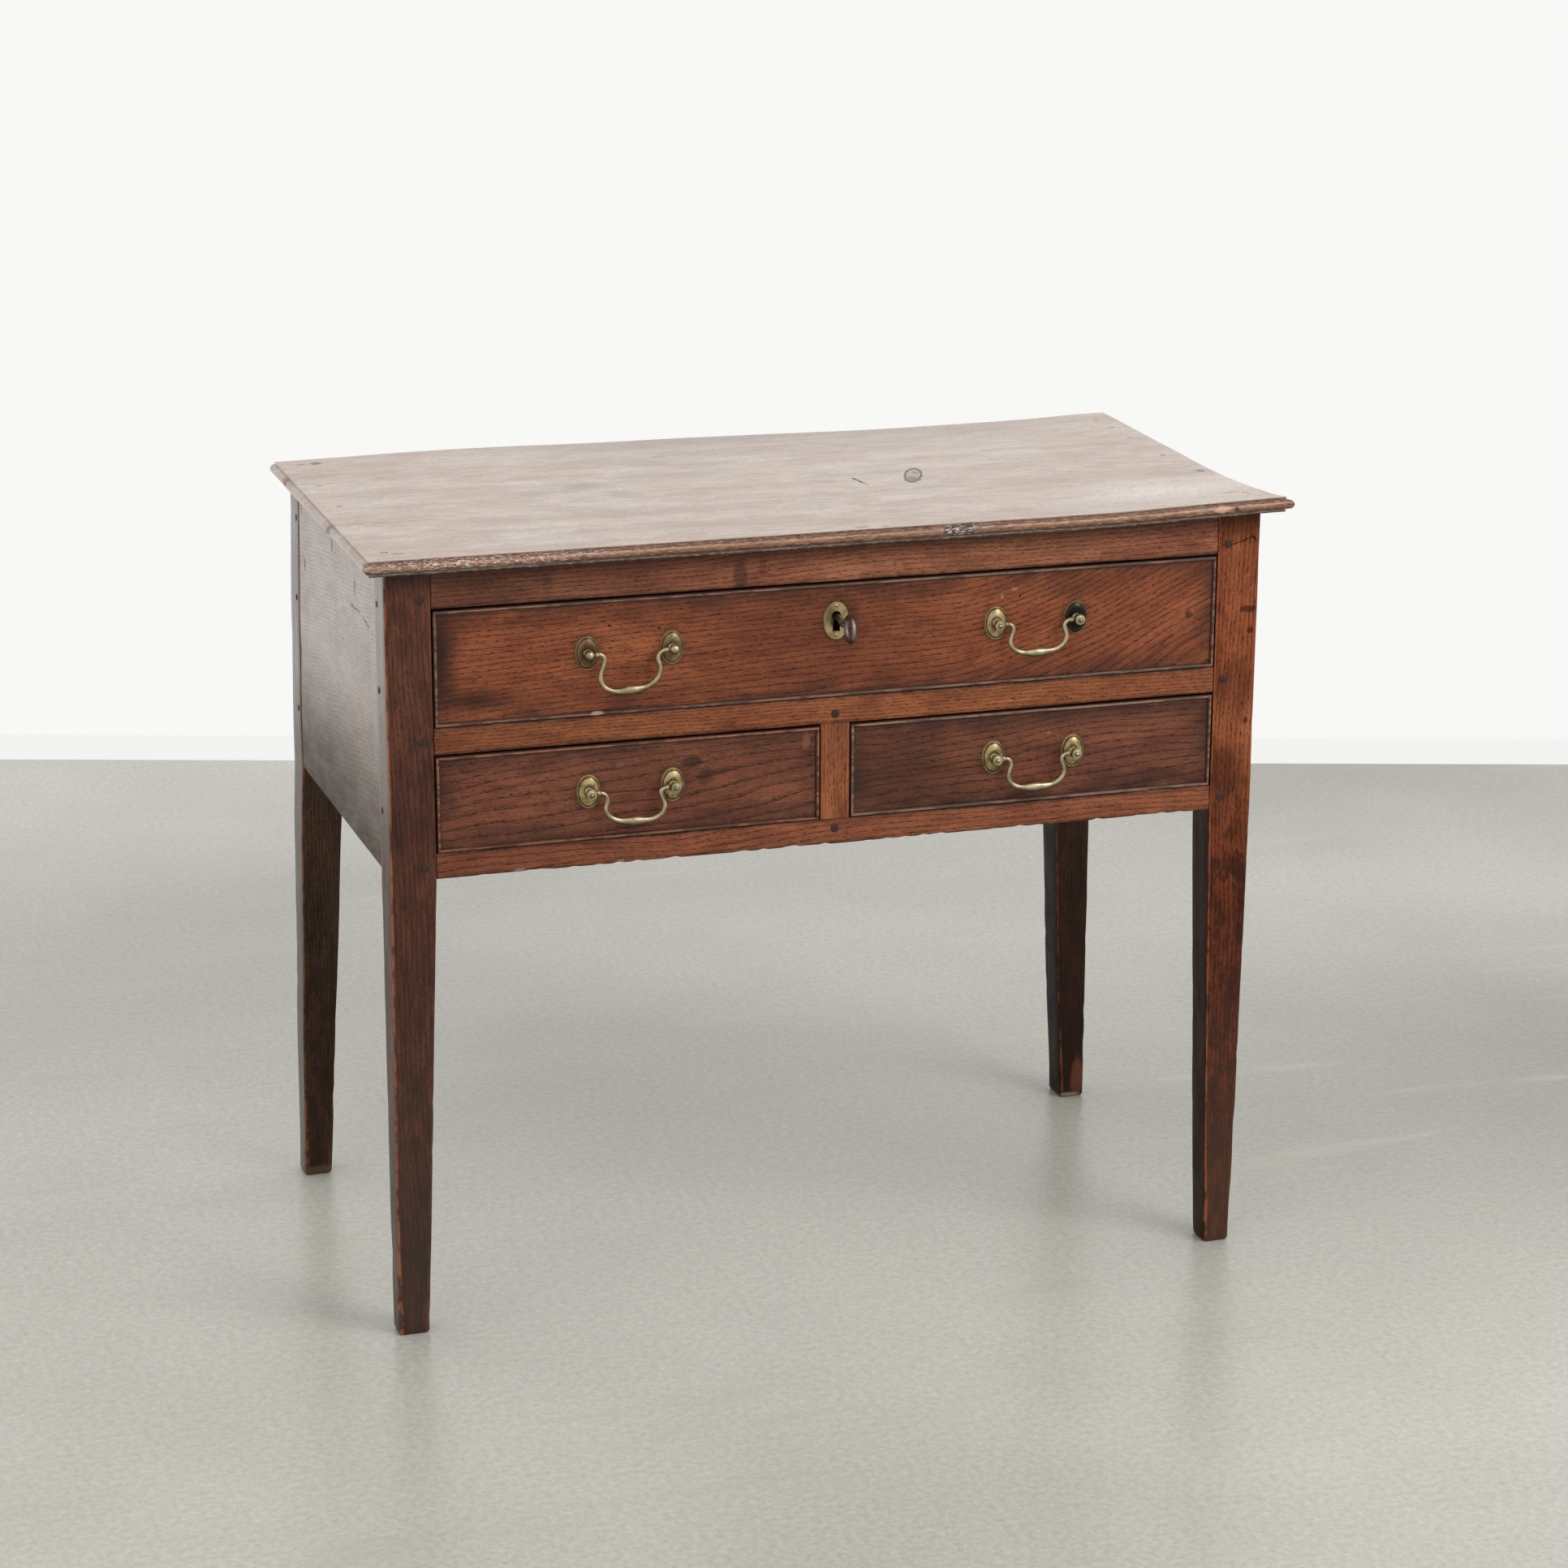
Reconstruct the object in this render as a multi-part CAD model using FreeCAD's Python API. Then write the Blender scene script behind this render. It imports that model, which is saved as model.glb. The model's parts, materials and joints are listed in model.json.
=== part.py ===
import FreeCAD, Part
import math
import os
from FreeCAD import Vector as V

# Oak side table (lowboy): one long drawer over two short ones, on four tapered legs.
#
# Millimetres. X runs left to right along the front, Y from the front to the back, Z up.
# Pieces are laid out from the front faces of the legs (y = 0) and the middle of the
# case (x = 0). save() then moves each one so that the origin lies at floor level under
# the middle of the whole object's box.

# ---- case -------------------------------------------------------------------
CASE_W = 836.0            # over the outer faces of the legs
CASE_D = 428.0            # front face of the front legs to back face of the back legs
LEG_W = 42.0              # width of a leg along X where the case is
LEG_D = 40.0              # depth of a leg along Y
APRON_Z = 440.5           # underside of the bottom rail, where the legs start to taper
BOTTOM_RAIL_H = 24.0
SMALL_OPENING_H = 91.5
MIDDLE_RAIL_H = 25.0
LONG_OPENING_H = 109.0
TOP_RAIL_H = 37.0
RAIL_D = 34.0             # depth of the three front rails
MUNTIN_W = 27.5           # upright between the two short drawers
MUNTIN_D = 22.0
# how far each foot has wandered from plumb, along X and Y, and its size along X and Y
FOOT_DRIFT = {
    "front_left": (-3.5, 0.0),
    "front_right": (-11.5, -14.5),
    "back_left": (-12.0, 15.0),
    "back_right": (-1.5, 1.5),
}
FOOT_SIZE = {
    "front_left": (29.5, 25.5),
    "front_right": (27.0, 28.5),
    "back_left": (28.0, 29.0),
    "back_right": (27.0, 33.0),
}

# ---- joints of the frame ----------------------------------------------------
RAIL_TENON_L = 26.0
RAIL_TENON_T = 10.0
RAIL_TENON_Y = 12.0       # front face of the leg to the front cheek of the tenon
RAIL_SHOULDER = 3.0       # shoulder above and below a rail's tenon
TOP_HAUNCH = 22.0         # leg left above the top rail's tenon
MUNTIN_TENON_L = 14.0
MUNTIN_TENON_T = 8.0
MORTISE_END_GAP = 1.0     # free space at the end of each tenon
PANEL_T = 14.0            # side boards
BACK_T = 12.0             # back board
PANEL_SETBACK = 0.8       # boards lie this far inside the outer faces of the legs
PANEL_RISE = 2.5          # lower edge of the boards above the bottom rail's
PANEL_TENON_L = 20.0
PANEL_TENON_T = 7.0
PANEL_TENON_H = 42.0
PANEL_TENON_UP = (59.5, 171.5, 250.5)     # middles of its tenons, above the case's underside
PANEL_TENON_Z = tuple(APRON_Z + up for up in PANEL_TENON_UP)
PEG_R = 4.0
SIDE_PEG_R = 3.3
PEG_INSET = 10.0          # peg centre to the joint line
MUNTIN_PEG_IN = 9.0       # the same at the ends of the muntin
PEG_PROUD = 0.8
PEG_FIT = 0.03            # a driven peg in its hole
FRONT_PEG_L = 31.0
SIDE_PEG_L = 25.0

# ---- top --------------------------------------------------------------------
TOP_T = 14.0
TOP_OVER_SIDE = 17.0
TOP_OVER_FRONT = 24.5
TOP_OVER_BACK = 0.0       # the back edge is flush with the legs
TOP_JOINTS = (0.308, 0.808)     # the two glue joints, as shares of the case's depth
EDGE_STEP_H = 1.6         # small step above the roll
EDGE_QUIRK = 0.5          # sunk line each side of the roll
EDGE_ROLL_R = 4.6
TOP_PEG_R = 3.0
TOP_PEG_L = 36.0
TOP_PEG_IN = 8.0          # peg centre inside the outer face of the legs
TOP_PEGS_LEFT = (0.028, 0.49, 0.712, 0.946)         # shares of the case's depth
TOP_PEGS_RIGHT = (0.028, 0.49, 0.694, 0.82, 0.923)

# ---- runners and guides -----------------------------------------------------
RUNNER_IN = 22.0          # how far a runner reaches in under its drawer
RUNNER_H = 18.0
GUIDE_H = 15.0
KICKER_H = 22.0
STOP_W = 32.0
STOP_D = 11.0
STOP_H = 4.5

# ---- drawers ----------------------------------------------------------------
SIDE_GAP = 1.2            # drawer to leg, each side
TOP_GAP = 1.8             # drawer to the rail above
RUN_GAP = 0.3             # drawer to what it slides on, and to its stops
FRONT_SET = 0.6           # drawer fronts lie this far behind the legs' faces
FRONT_T = 19.0
FRONT_LAP = 6.0           # wood left in front of the lapped dovetails
SIDE_T = 9.0
BACK_BOARD_T = 9.0
BOTTOM_T = 7.0
BOTTOM_RISE = 7.0         # lower edge of the sides to the underside of the bottom
GROOVE_D = 4.5
SIDE_TOP_DROP = 1.0       # sides lie this much below the front's top edge
BACK_TOP_DROP = 6.0
DRAWER_BACK_ROOM = 26.6   # free space behind a closed drawer
TAIL_SLOPE = 1.0 / 6.0
TAIL_BASE = 18.0          # width of a dovetail at its narrow end
BEAD_W = 4.0              # cockbead round each front
BEAD_D = 5.0              # how deep the bead is let in

# ---- swan-neck handles ------------------------------------------------------
HANDLE_SPAN = 79.0        # post to post
HANDLE_OUT = 9.2          # drawer face to the line through the posts' heads
LONG_HANDLE_UP = 4.3      # handles above the middle of the long opening
SMALL_HANDLE_UP = 0.6     # and above the middle of a short one
BAIL_DROPS = {"long_left": 34.5, "long_right": 28.5, "left": 28.5, "right": 29.5}
BAIL_ARM_R = 1.9          # at the elbows
BAIL_BAR_R = 2.4          # where the arms turn into the bar
BAIL_GRIP_R = 4.3
BAIL_GRIP_HALF = 17.0     # half of the swelling's length
BAIL_PIN_R = 1.45
BAIL_PIN_FIT = 0.08
BAIL_COLLAR_R = 2.5
BAIL_COLLAR_L = 4.0
BAIL_SECTIONS = 37
HEAD_R = 4.7
POST_SHANK_R = 2.5
POST_NECK_R = 2.6
POST_BOSS_R = 4.4
POST_BOSS_H = 2.0
POST_HOLE_FIT = 0.1
NUT_SIDE = 10.0
NUT_T = 3.0
POST_PAST_NUT = 3.0
ROSE_HALF_W = 11.3
ROSE_HALF_H = 16.2
ROSE_RIM_T = 1.2
ROSE_STEP_T = 0.9

# ---- lock, key and escutcheon -----------------------------------------------
KEY_DOWN = 30.0           # key's axis below the long drawer's top edge
KEYHOLE_R = 4.0
KEYHOLE_SLOT = 15.0       # axis to the foot of the slot
KEYHOLE_NECK = 2.8        # half widths of the slot at its top and foot
KEYHOLE_FOOT = 3.6
ESCUTCHEON_HALF_W = 12.8
ESCUTCHEON_HALF_H = 18.2
ESCUTCHEON_T = 1.5
ESCUTCHEON_DOWN = 4.9     # middle of the plate below the key's axis
ESCUTCHEON_PIN_Z = (9.2, -18.6)     # its two pins, from the key's axis
ESCUTCHEON_PIN_R = 1.1
ESCUTCHEON_PIN_L = 6.0
PIN_HEAD_R = 1.8
PIN_HEAD_H = 0.8
LOCK_BOX_W = 36.0
LOCK_BOX_D = 12.3         # inner face of the drawer front to the front of the box
LOCK_BELOW = 17.0
LOCK_WALL = 1.2
LOCK_PLATE_W = 62.0
LOCK_PLATE_T = 1.6
LOCK_PIN_R = 1.4
LOCK_FIT = 0.3            # free space round the box and the sliding bolt
BOLT_TRAVEL = 8.0
BOLT_PLATE_W = 24.0
BOLT_PLATE_T = 2.0
BOLT_HEAD_W = 16.0
BOLT_HEAD_T = 4.4
BOLT_HEAD_L = 15.0
BOLT_PLATE_L = 34.0
BOLT_MORTISE_GAP = 1.2
KEY_SHANK_R = 2.8
KEY_BIT_W = 3.2
KEY_BIT_T = 2.4
KEY_BIT_REACH = 14.0
KEY_BORE_FIT = 0.07
KEY_BORE_L = 11.0
KEY_TIP_IN = 6.6          # inner face of the drawer front to the key's tip
KEY_BOW_OUT = 41.0        # drawer face to the middle of the bow
KEY_BOW_R = 11.4
KEY_BOW_WIRE_R = 2.1
KEY_COLLAR_R = 3.9
KEY_COLLAR_OUT = 19.0     # drawer face to the first collar
KEY_COLLAR_PITCH = 2.6
KEY_COLLARS = 3
KEY_DROOP = 4.0           # degrees that a worn lock lets the key hang down

# ---- places worked out from the sizes ---------------------------------------
HALF_W = CASE_W / 2
HALF_IN = HALF_W - LEG_W                      # inner faces of the legs
SMALL_Z = APRON_Z + BOTTOM_RAIL_H             # floor of the short drawers' openings
MIDDLE_RAIL_Z = SMALL_Z + SMALL_OPENING_H
LONG_Z = MIDDLE_RAIL_Z + MIDDLE_RAIL_H
TOP_RAIL_Z = LONG_Z + LONG_OPENING_H
CASE_H = TOP_RAIL_Z + TOP_RAIL_H
TOP_Z = CASE_H + TOP_T
BACK_IN_Y = CASE_D - PANEL_SETBACK - BACK_T   # inner face of the back board
DRAWER_BACK_Y = BACK_IN_Y - DRAWER_BACK_ROOM  # outer face of the drawers' backs
PANEL_OUT_X = HALF_W - PANEL_SETBACK
PANEL_IN_X = PANEL_OUT_X - PANEL_T
FRONT_BACK_Y = FRONT_SET + FRONT_T            # inner face of a drawer front
LONG_TOP_Z = TOP_RAIL_Z - TOP_GAP             # top edge of the long drawer's front
KEY_Z = LONG_TOP_Z - KEY_DOWN
KEY_TIP_Y = FRONT_BACK_Y - KEY_TIP_IN
LOCK_BOX_Y = FRONT_BACK_Y - LOCK_BOX_D
SMALL_MID_X = (HALF_IN + MUNTIN_W / 2) / 2
HANDLE_Y = FRONT_SET - HANDLE_OUT
LONG_HANDLE_Z = LONG_Z + LONG_OPENING_H / 2 + LONG_HANDLE_UP
SMALL_HANDLE_Z = SMALL_Z + SMALL_OPENING_H / 2 + SMALL_HANDLE_UP
HANDLES = {
    "long_left": (-SMALL_MID_X, LONG_HANDLE_Z),
    "long_right": (SMALL_MID_X, LONG_HANDLE_Z),
    "left": (-SMALL_MID_X, SMALL_HANDLE_Z),
    "right": (SMALL_MID_X, SMALL_HANDLE_Z),
}
PLAIN_HEADS = ("long_left",)                  # an older handle with plain ball heads


def key_front_y():
    """Foremost point of the key's bow, which is the foremost point of the object."""
    reach = KEY_TIP_Y - (FRONT_SET - KEY_BOW_OUT)
    ring = KEY_BOW_R + KEY_BOW_WIRE_R
    return KEY_TIP_Y - reach * math.cos(math.radians(KEY_DROOP)) - ring


def back_reach():
    """How far back the object reaches: its top's back edge or the foot that leans out most."""
    lean = max(FOOT_DRIFT["back_left"][1], FOOT_DRIFT["back_right"][1])
    return CASE_D + max(TOP_OVER_BACK, lean)


ORIGIN_Y = (key_front_y() + back_reach()) / 2


# ---- small helpers ----------------------------------------------------------
def box(x0, x1, y0, y1, z0, z1):
    """A block between two corners, given in any order."""
    low = V(min(x0, x1), min(y0, y1), min(z0, z1))
    high = V(max(x0, x1), max(y0, y1), max(z0, z1))
    size = high - low
    return Part.makeBox(size.x, size.y, size.z, low)


def rod(x, y, z, axis, radius, length):
    """A round rod from a point along an axis."""
    return Part.makeCylinder(radius, length, V(x, y, z), axis)


def face_of(points):
    """A flat face through a closed list of points."""
    return Part.Face(Part.makePolygon(list(points) + [points[0]]))


def joined(shapes):
    """Fuse shapes into one solid."""
    shapes = list(shapes)
    return shapes[0].multiFuse(shapes[1:]).removeSplitter()


def cut_all(shape, tools):
    """Cut every tool from a shape."""
    tools = list(tools)
    return shape.cut(tools) if tools else shape


def save(node, solids):
    """Write one node, moved to the object's own origin."""
    solids = solids if isinstance(solids, list) else [solids]
    solids = [solid for shape in solids for solid in shape.Solids]
    shape = solids[0] if len(solids) == 1 else Part.Compound(solids)
    shape = shape.copy()
    shape.translate(V(0, -ORIGIN_Y, 0))
    shape.exportStep("parts/" + node + ".step")


# ---- front rails ------------------------------------------------------------
def rail_heights():
    """Lower and upper edge of each front rail, with its tenon's."""
    return {
        "bottom_rail": (APRON_Z, SMALL_Z, APRON_Z + RAIL_SHOULDER, SMALL_Z - RAIL_SHOULDER),
        "middle_rail": (MIDDLE_RAIL_Z, LONG_Z, MIDDLE_RAIL_Z + RAIL_SHOULDER, LONG_Z - RAIL_SHOULDER),
        "top_rail": (TOP_RAIL_Z, CASE_H, TOP_RAIL_Z + RAIL_SHOULDER, CASE_H - TOP_HAUNCH),
    }


def rail_tenon(rail, side, extra=0.0):
    """Tenon at one end of a rail; extra lengthens it into the mortise's free end."""
    low, high = rail_heights()[rail][2:]
    tip = HALF_IN + RAIL_TENON_L + extra
    return box(side * HALF_IN, side * tip, RAIL_TENON_Y, RAIL_TENON_Y + RAIL_TENON_T, low, high)


def muntin_tenon(up, extra=0.0):
    """Tenon at the upper or lower end of the muntin."""
    root = MIDDLE_RAIL_Z if up else SMALL_Z
    tip = root + (MUNTIN_TENON_L + extra) * (1 if up else -1)
    y0 = (MUNTIN_D - MUNTIN_TENON_T) / 2
    half = MUNTIN_W / 2 - RAIL_SHOULDER
    return box(-half, half, y0, y0 + MUNTIN_TENON_T, root, tip)


def rail(name):
    """A front rail with its two tenons and the mortises for the muntin or the bolt."""
    low, high = rail_heights()[name][:2]
    body = joined([box(-HALF_IN, HALF_IN, 0, RAIL_D, low, high),
                   rail_tenon(name, -1), rail_tenon(name, 1)])
    tools = front_peg_holes()
    if name == "top_rail":
        tools.append(bolt_mortise())
    else:
        tools.append(muntin_tenon(name == "middle_rail", MORTISE_END_GAP))
    return cut_all(body, tools)


def muntin():
    """The upright between the short drawers."""
    body = joined([box(-MUNTIN_W / 2, MUNTIN_W / 2, 0, MUNTIN_D, SMALL_Z, MIDDLE_RAIL_Z),
                   muntin_tenon(True), muntin_tenon(False)])
    return cut_all(body, front_peg_holes())


# ---- side and back boards ---------------------------------------------------
def side_tenon(side, back, z, extra=0.0):
    """Tenon of a side board into a front or back leg, centred on z."""
    x1 = side * (PANEL_OUT_X - (PANEL_T - PANEL_TENON_T) / 2)
    x0 = x1 - side * PANEL_TENON_T
    root, inward = (CASE_D - LEG_D, 1) if back else (LEG_D, -1)
    tip = root + inward * (PANEL_TENON_L + extra)
    return box(x0, x1, root, tip, z - PANEL_TENON_H / 2, z + PANEL_TENON_H / 2)


def back_tenon(side, z, extra=0.0):
    """Tenon of the back board into a back leg, centred on z."""
    y0 = BACK_IN_Y + (BACK_T - PANEL_TENON_T) / 2
    tip = HALF_IN + PANEL_TENON_L + extra
    half = PANEL_TENON_H / 2
    return box(side * HALF_IN, side * tip, y0, y0 + PANEL_TENON_T, z - half, z + half)


def side_panel(side):
    """A wide side board between the legs, with three tenons at each end."""
    body = box(side * PANEL_OUT_X, side * PANEL_IN_X, LEG_D, CASE_D - LEG_D,
               APRON_Z + PANEL_RISE, CASE_H)
    tenons = [side_tenon(side, back, z) for back in (False, True) for z in PANEL_TENON_Z]
    return cut_all(joined([body] + tenons), side_peg_holes() + top_peg_holes())


def back_panel():
    """The back board between the back legs."""
    body = box(-HALF_IN, HALF_IN, BACK_IN_Y, BACK_IN_Y + BACK_T, APRON_Z + PANEL_RISE, CASE_H)
    tenons = [back_tenon(side, z) for side in (-1, 1) for z in PANEL_TENON_Z]
    return cut_all(joined([body] + tenons), back_peg_holes())


# ---- legs -------------------------------------------------------------------
def leg(front, side):
    """A leg: square beside the case, its inner faces tapered from the apron to the foot."""
    y_out, inward = (0.0, 1) if front else (CASE_D, -1)
    x_out = side * HALF_W
    name = ("front_" if front else "back_") + ("left" if side < 0 else "right")
    drift_x, drift_y = FOOT_DRIFT[name]
    foot_w, foot_d = FOOT_SIZE[name]

    def square(x, y, wide, deep, z):
        xs = (x, x - side * wide)
        ys = (y, y + inward * deep)
        corners = [V(xs[0], ys[0], z), V(xs[1], ys[0], z), V(xs[1], ys[1], z), V(xs[0], ys[1], z)]
        return Part.makePolygon(corners + [corners[0]])

    foot = square(x_out + drift_x, y_out + drift_y, foot_w, foot_d, 0)
    knee = square(x_out, y_out, LEG_W, LEG_D, APRON_Z)
    taper = Part.makeLoft([foot, knee], True, True)
    post = box(x_out, x_out - side * LEG_W, y_out, y_out + inward * LEG_D, APRON_Z, CASE_H)
    tools = side_peg_holes() + top_peg_holes()
    tools += [side_tenon(side, not front, z, MORTISE_END_GAP) for z in PANEL_TENON_Z]
    if front:
        tools += front_peg_holes()
        tools += [rail_tenon(name, side, MORTISE_END_GAP) for name in rail_heights()]
    else:
        tools += back_peg_holes()
        tools += [back_tenon(side, z, MORTISE_END_GAP) for z in PANEL_TENON_Z]
    return cut_all(joined([post, taper]), tools)


# ---- pegs -------------------------------------------------------------------
def front_pegs(fit=0.0):
    """Pegs through the front joints: three in each leg, two for the muntin."""
    rails = rail_heights()
    places = []
    for side in (-1, 1):
        for name in rails:
            low, high = rails[name][2:]
            places.append((side * (HALF_IN + PEG_INSET), (low + high) / 2))
    places.append((0.0, MIDDLE_RAIL_Z + MUNTIN_PEG_IN))
    places.append((0.0, SMALL_Z - MUNTIN_PEG_IN))
    return [rod(x, -PEG_PROUD, z, V(0, 1, 0), PEG_R + fit, FRONT_PEG_L) for x, z in places]


def side_pegs(fit=0.0):
    """Pegs that hold the side boards' tenons."""
    pegs = []
    for side in (-1, 1):
        for y in (LEG_D - PEG_INSET, CASE_D - LEG_D + PEG_INSET):
            for z in PANEL_TENON_Z:
                start = side * (HALF_W + PEG_PROUD)
                pegs.append(rod(start, y, z, V(-side, 0, 0), SIDE_PEG_R + fit, SIDE_PEG_L))
    return pegs


def back_pegs(fit=0.0):
    """Pegs that hold the back board's tenons."""
    start = CASE_D + PEG_PROUD
    return [rod(side * (HALF_IN + PEG_INSET), start, z, V(0, -1, 0), SIDE_PEG_R + fit, SIDE_PEG_L)
            for side in (-1, 1) for z in PANEL_TENON_Z]


def top_pegs(fit=0.0):
    """Pegs driven through the top into the legs and the side boards."""
    pegs = []
    for side, shares in ((-1, TOP_PEGS_LEFT), (1, TOP_PEGS_RIGHT)):
        for share in shares:
            x = side * (HALF_W - TOP_PEG_IN)
            pegs.append(rod(x, share * CASE_D, TOP_Z, V(0, 0, -1), TOP_PEG_R + fit, TOP_PEG_L))
    return pegs


def front_peg_holes():
    return front_pegs(PEG_FIT)


def side_peg_holes():
    return side_pegs(PEG_FIT)


def back_peg_holes():
    return back_pegs(PEG_FIT)


def top_peg_holes():
    return top_pegs(PEG_FIT)


# ---- top --------------------------------------------------------------------
def edge_line(place):
    """The moulded edge from the top face down: step, sunk line, roll, sunk line, fillet.

    place(inward, z) gives a point from its distance inside the nose and its height.
    """
    roll_top = TOP_Z - EDGE_STEP_H - EDGE_QUIRK
    roll_mid = roll_top - EDGE_ROLL_R
    roll_foot = roll_mid - EDGE_ROLL_R
    upper = [place(EDGE_ROLL_R, TOP_Z), place(EDGE_ROLL_R + EDGE_QUIRK, TOP_Z - EDGE_STEP_H),
             place(EDGE_ROLL_R, roll_top)]
    roll = Part.Arc(upper[-1], place(0, roll_mid), place(EDGE_ROLL_R, roll_foot)).toShape()
    lower = [place(EDGE_ROLL_R, roll_foot),
             place(EDGE_ROLL_R + 2 * EDGE_QUIRK, roll_foot - EDGE_QUIRK),
             place(EDGE_ROLL_R + EDGE_QUIRK, roll_foot - 2 * EDGE_QUIRK),
             place(EDGE_ROLL_R + EDGE_QUIRK, CASE_H)]
    return list(Part.makePolygon(upper).Edges) + [roll] + list(Part.makePolygon(lower).Edges)


def top_slab():
    """The whole top: the front's section and the ends' section meet in mitres."""
    half = HALF_W + TOP_OVER_SIDE
    nose_y = -TOP_OVER_FRONT
    back_y = CASE_D + TOP_OVER_BACK

    def front_place(inward, z):
        return V(-half, nose_y + inward, z)

    def left_place(inward, z):
        return V(-half + inward, nose_y, z)

    def right_place(inward, z):
        return V(half - inward, nose_y, z)

    front_edges = edge_line(front_place)
    top_y = EDGE_ROLL_R
    foot_y = EDGE_ROLL_R + EDGE_QUIRK
    square_back = Part.makePolygon([front_place(foot_y, CASE_H), V(-half, back_y, CASE_H),
                                    V(-half, back_y, TOP_Z), front_place(top_y, TOP_Z)])
    front_wire = Part.Wire(Part.__sortEdges__(front_edges + list(square_back.Edges)))
    along_front = Part.Face(front_wire).extrude(V(2 * half, 0, 0))

    end_edges = edge_line(left_place) + edge_line(right_place)
    end_edges += Part.makePolygon([left_place(top_y, TOP_Z), right_place(top_y, TOP_Z)]).Edges
    end_edges += Part.makePolygon([left_place(foot_y, CASE_H), right_place(foot_y, CASE_H)]).Edges
    end_wire = Part.Wire(Part.__sortEdges__(end_edges))
    along_ends = Part.Face(end_wire).extrude(V(0, back_y - nose_y, 0))
    return along_front.common(along_ends)


def top_boards():
    """The three boards of the top, split at the glue joints."""
    slab = cut_all(top_slab(), top_peg_holes())
    half = HALF_W + TOP_OVER_SIDE
    ys = [-TOP_OVER_FRONT] + [share * CASE_D for share in TOP_JOINTS] + [CASE_D + TOP_OVER_BACK]
    names = ("top_board_front", "top_board_middle", "top_board_back")
    boards = {}
    for name, y0, y1 in zip(names, ys[:-1], ys[1:]):
        boards[name] = slab.common(box(-half, half, y0, y1, CASE_H, TOP_Z))
    return boards


# ---- runners, guides, kickers and stops -------------------------------------
def side_runner(side, floor_z):
    """A drawer's side runner with the guide that keeps it off the case's side."""
    under = box(side * HALF_IN, side * (HALF_IN - RUNNER_IN), RAIL_D, BACK_IN_Y,
                floor_z - RUNNER_H, floor_z)
    beside = box(side * PANEL_IN_X, side * HALF_IN, LEG_D, CASE_D - LEG_D,
                 floor_z - RUNNER_H, floor_z + GUIDE_H)
    return joined([under, beside])


def centre_runner():
    """The runner that both short drawers share."""
    half = MUNTIN_W / 2 + RUNNER_IN
    return box(-half, half, RAIL_D, BACK_IN_Y, SMALL_Z - RUNNER_H, SMALL_Z)


def centre_guide():
    """The strip behind the muntin that keeps the short drawers apart."""
    half = MUNTIN_W / 2
    return box(-half, half, MUNTIN_D, BACK_IN_Y, SMALL_Z, SMALL_Z + GUIDE_H)


def kicker(side):
    """The strip under the top that keeps the long drawer from tipping when it is out."""
    over = box(side * HALF_IN, side * (HALF_IN - RUNNER_IN), RAIL_D, BACK_IN_Y,
               TOP_RAIL_Z, TOP_RAIL_Z + KICKER_H)
    beside = box(side * PANEL_IN_X, side * HALF_IN, LEG_D, CASE_D - LEG_D,
                 TOP_RAIL_Z, TOP_RAIL_Z + KICKER_H)
    return joined([over, beside])


def drawer_stops():
    """Blocks on the rails that the drawer fronts close against."""
    y0 = FRONT_BACK_Y + RUN_GAP
    places = [(side * SMALL_MID_X, LONG_Z) for side in (-1, 1)]
    places += [(side * SMALL_MID_X + end * STOP_W, SMALL_Z) for side in (-1, 1) for end in (-1, 1)]
    return [box(x - STOP_W / 2, x + STOP_W / 2, y0, y0 + STOP_D, z, z + STOP_H) for x, z in places]


# ---- drawers ----------------------------------------------------------------
def drawer_box(name):
    """Outer width and height of a drawer: x0, x1, z0, z1."""
    openings = {
        "long": (-HALF_IN, HALF_IN, LONG_Z, TOP_RAIL_Z),
        "left": (-HALF_IN, -MUNTIN_W / 2, SMALL_Z, MIDDLE_RAIL_Z),
        "right": (MUNTIN_W / 2, HALF_IN, SMALL_Z, MIDDLE_RAIL_Z),
    }
    x0, x1, z0, z1 = openings[name]
    return x0 + SIDE_GAP, x1 - SIDE_GAP, z0 + RUN_GAP, z1 - TOP_GAP


def tails(x0, x1, narrow_y, wide_y, z0, z1, count):
    """A row of dovetails between two heights, wide towards the end of the board."""
    pitch = (z1 - z0) / count
    length = wide_y - narrow_y
    narrow = TAIL_BASE / 2
    wide = narrow + abs(length) * TAIL_SLOPE
    row = []
    for i in range(count):
        mid = z0 + (i + 0.5) * pitch
        points = [V(x0, narrow_y, mid - narrow), V(x0, wide_y, mid - wide),
                  V(x0, wide_y, mid + wide), V(x0, narrow_y, mid + narrow)]
        row.append(face_of(points).extrude(V(x1 - x0, 0, 0)))
    return row


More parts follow.
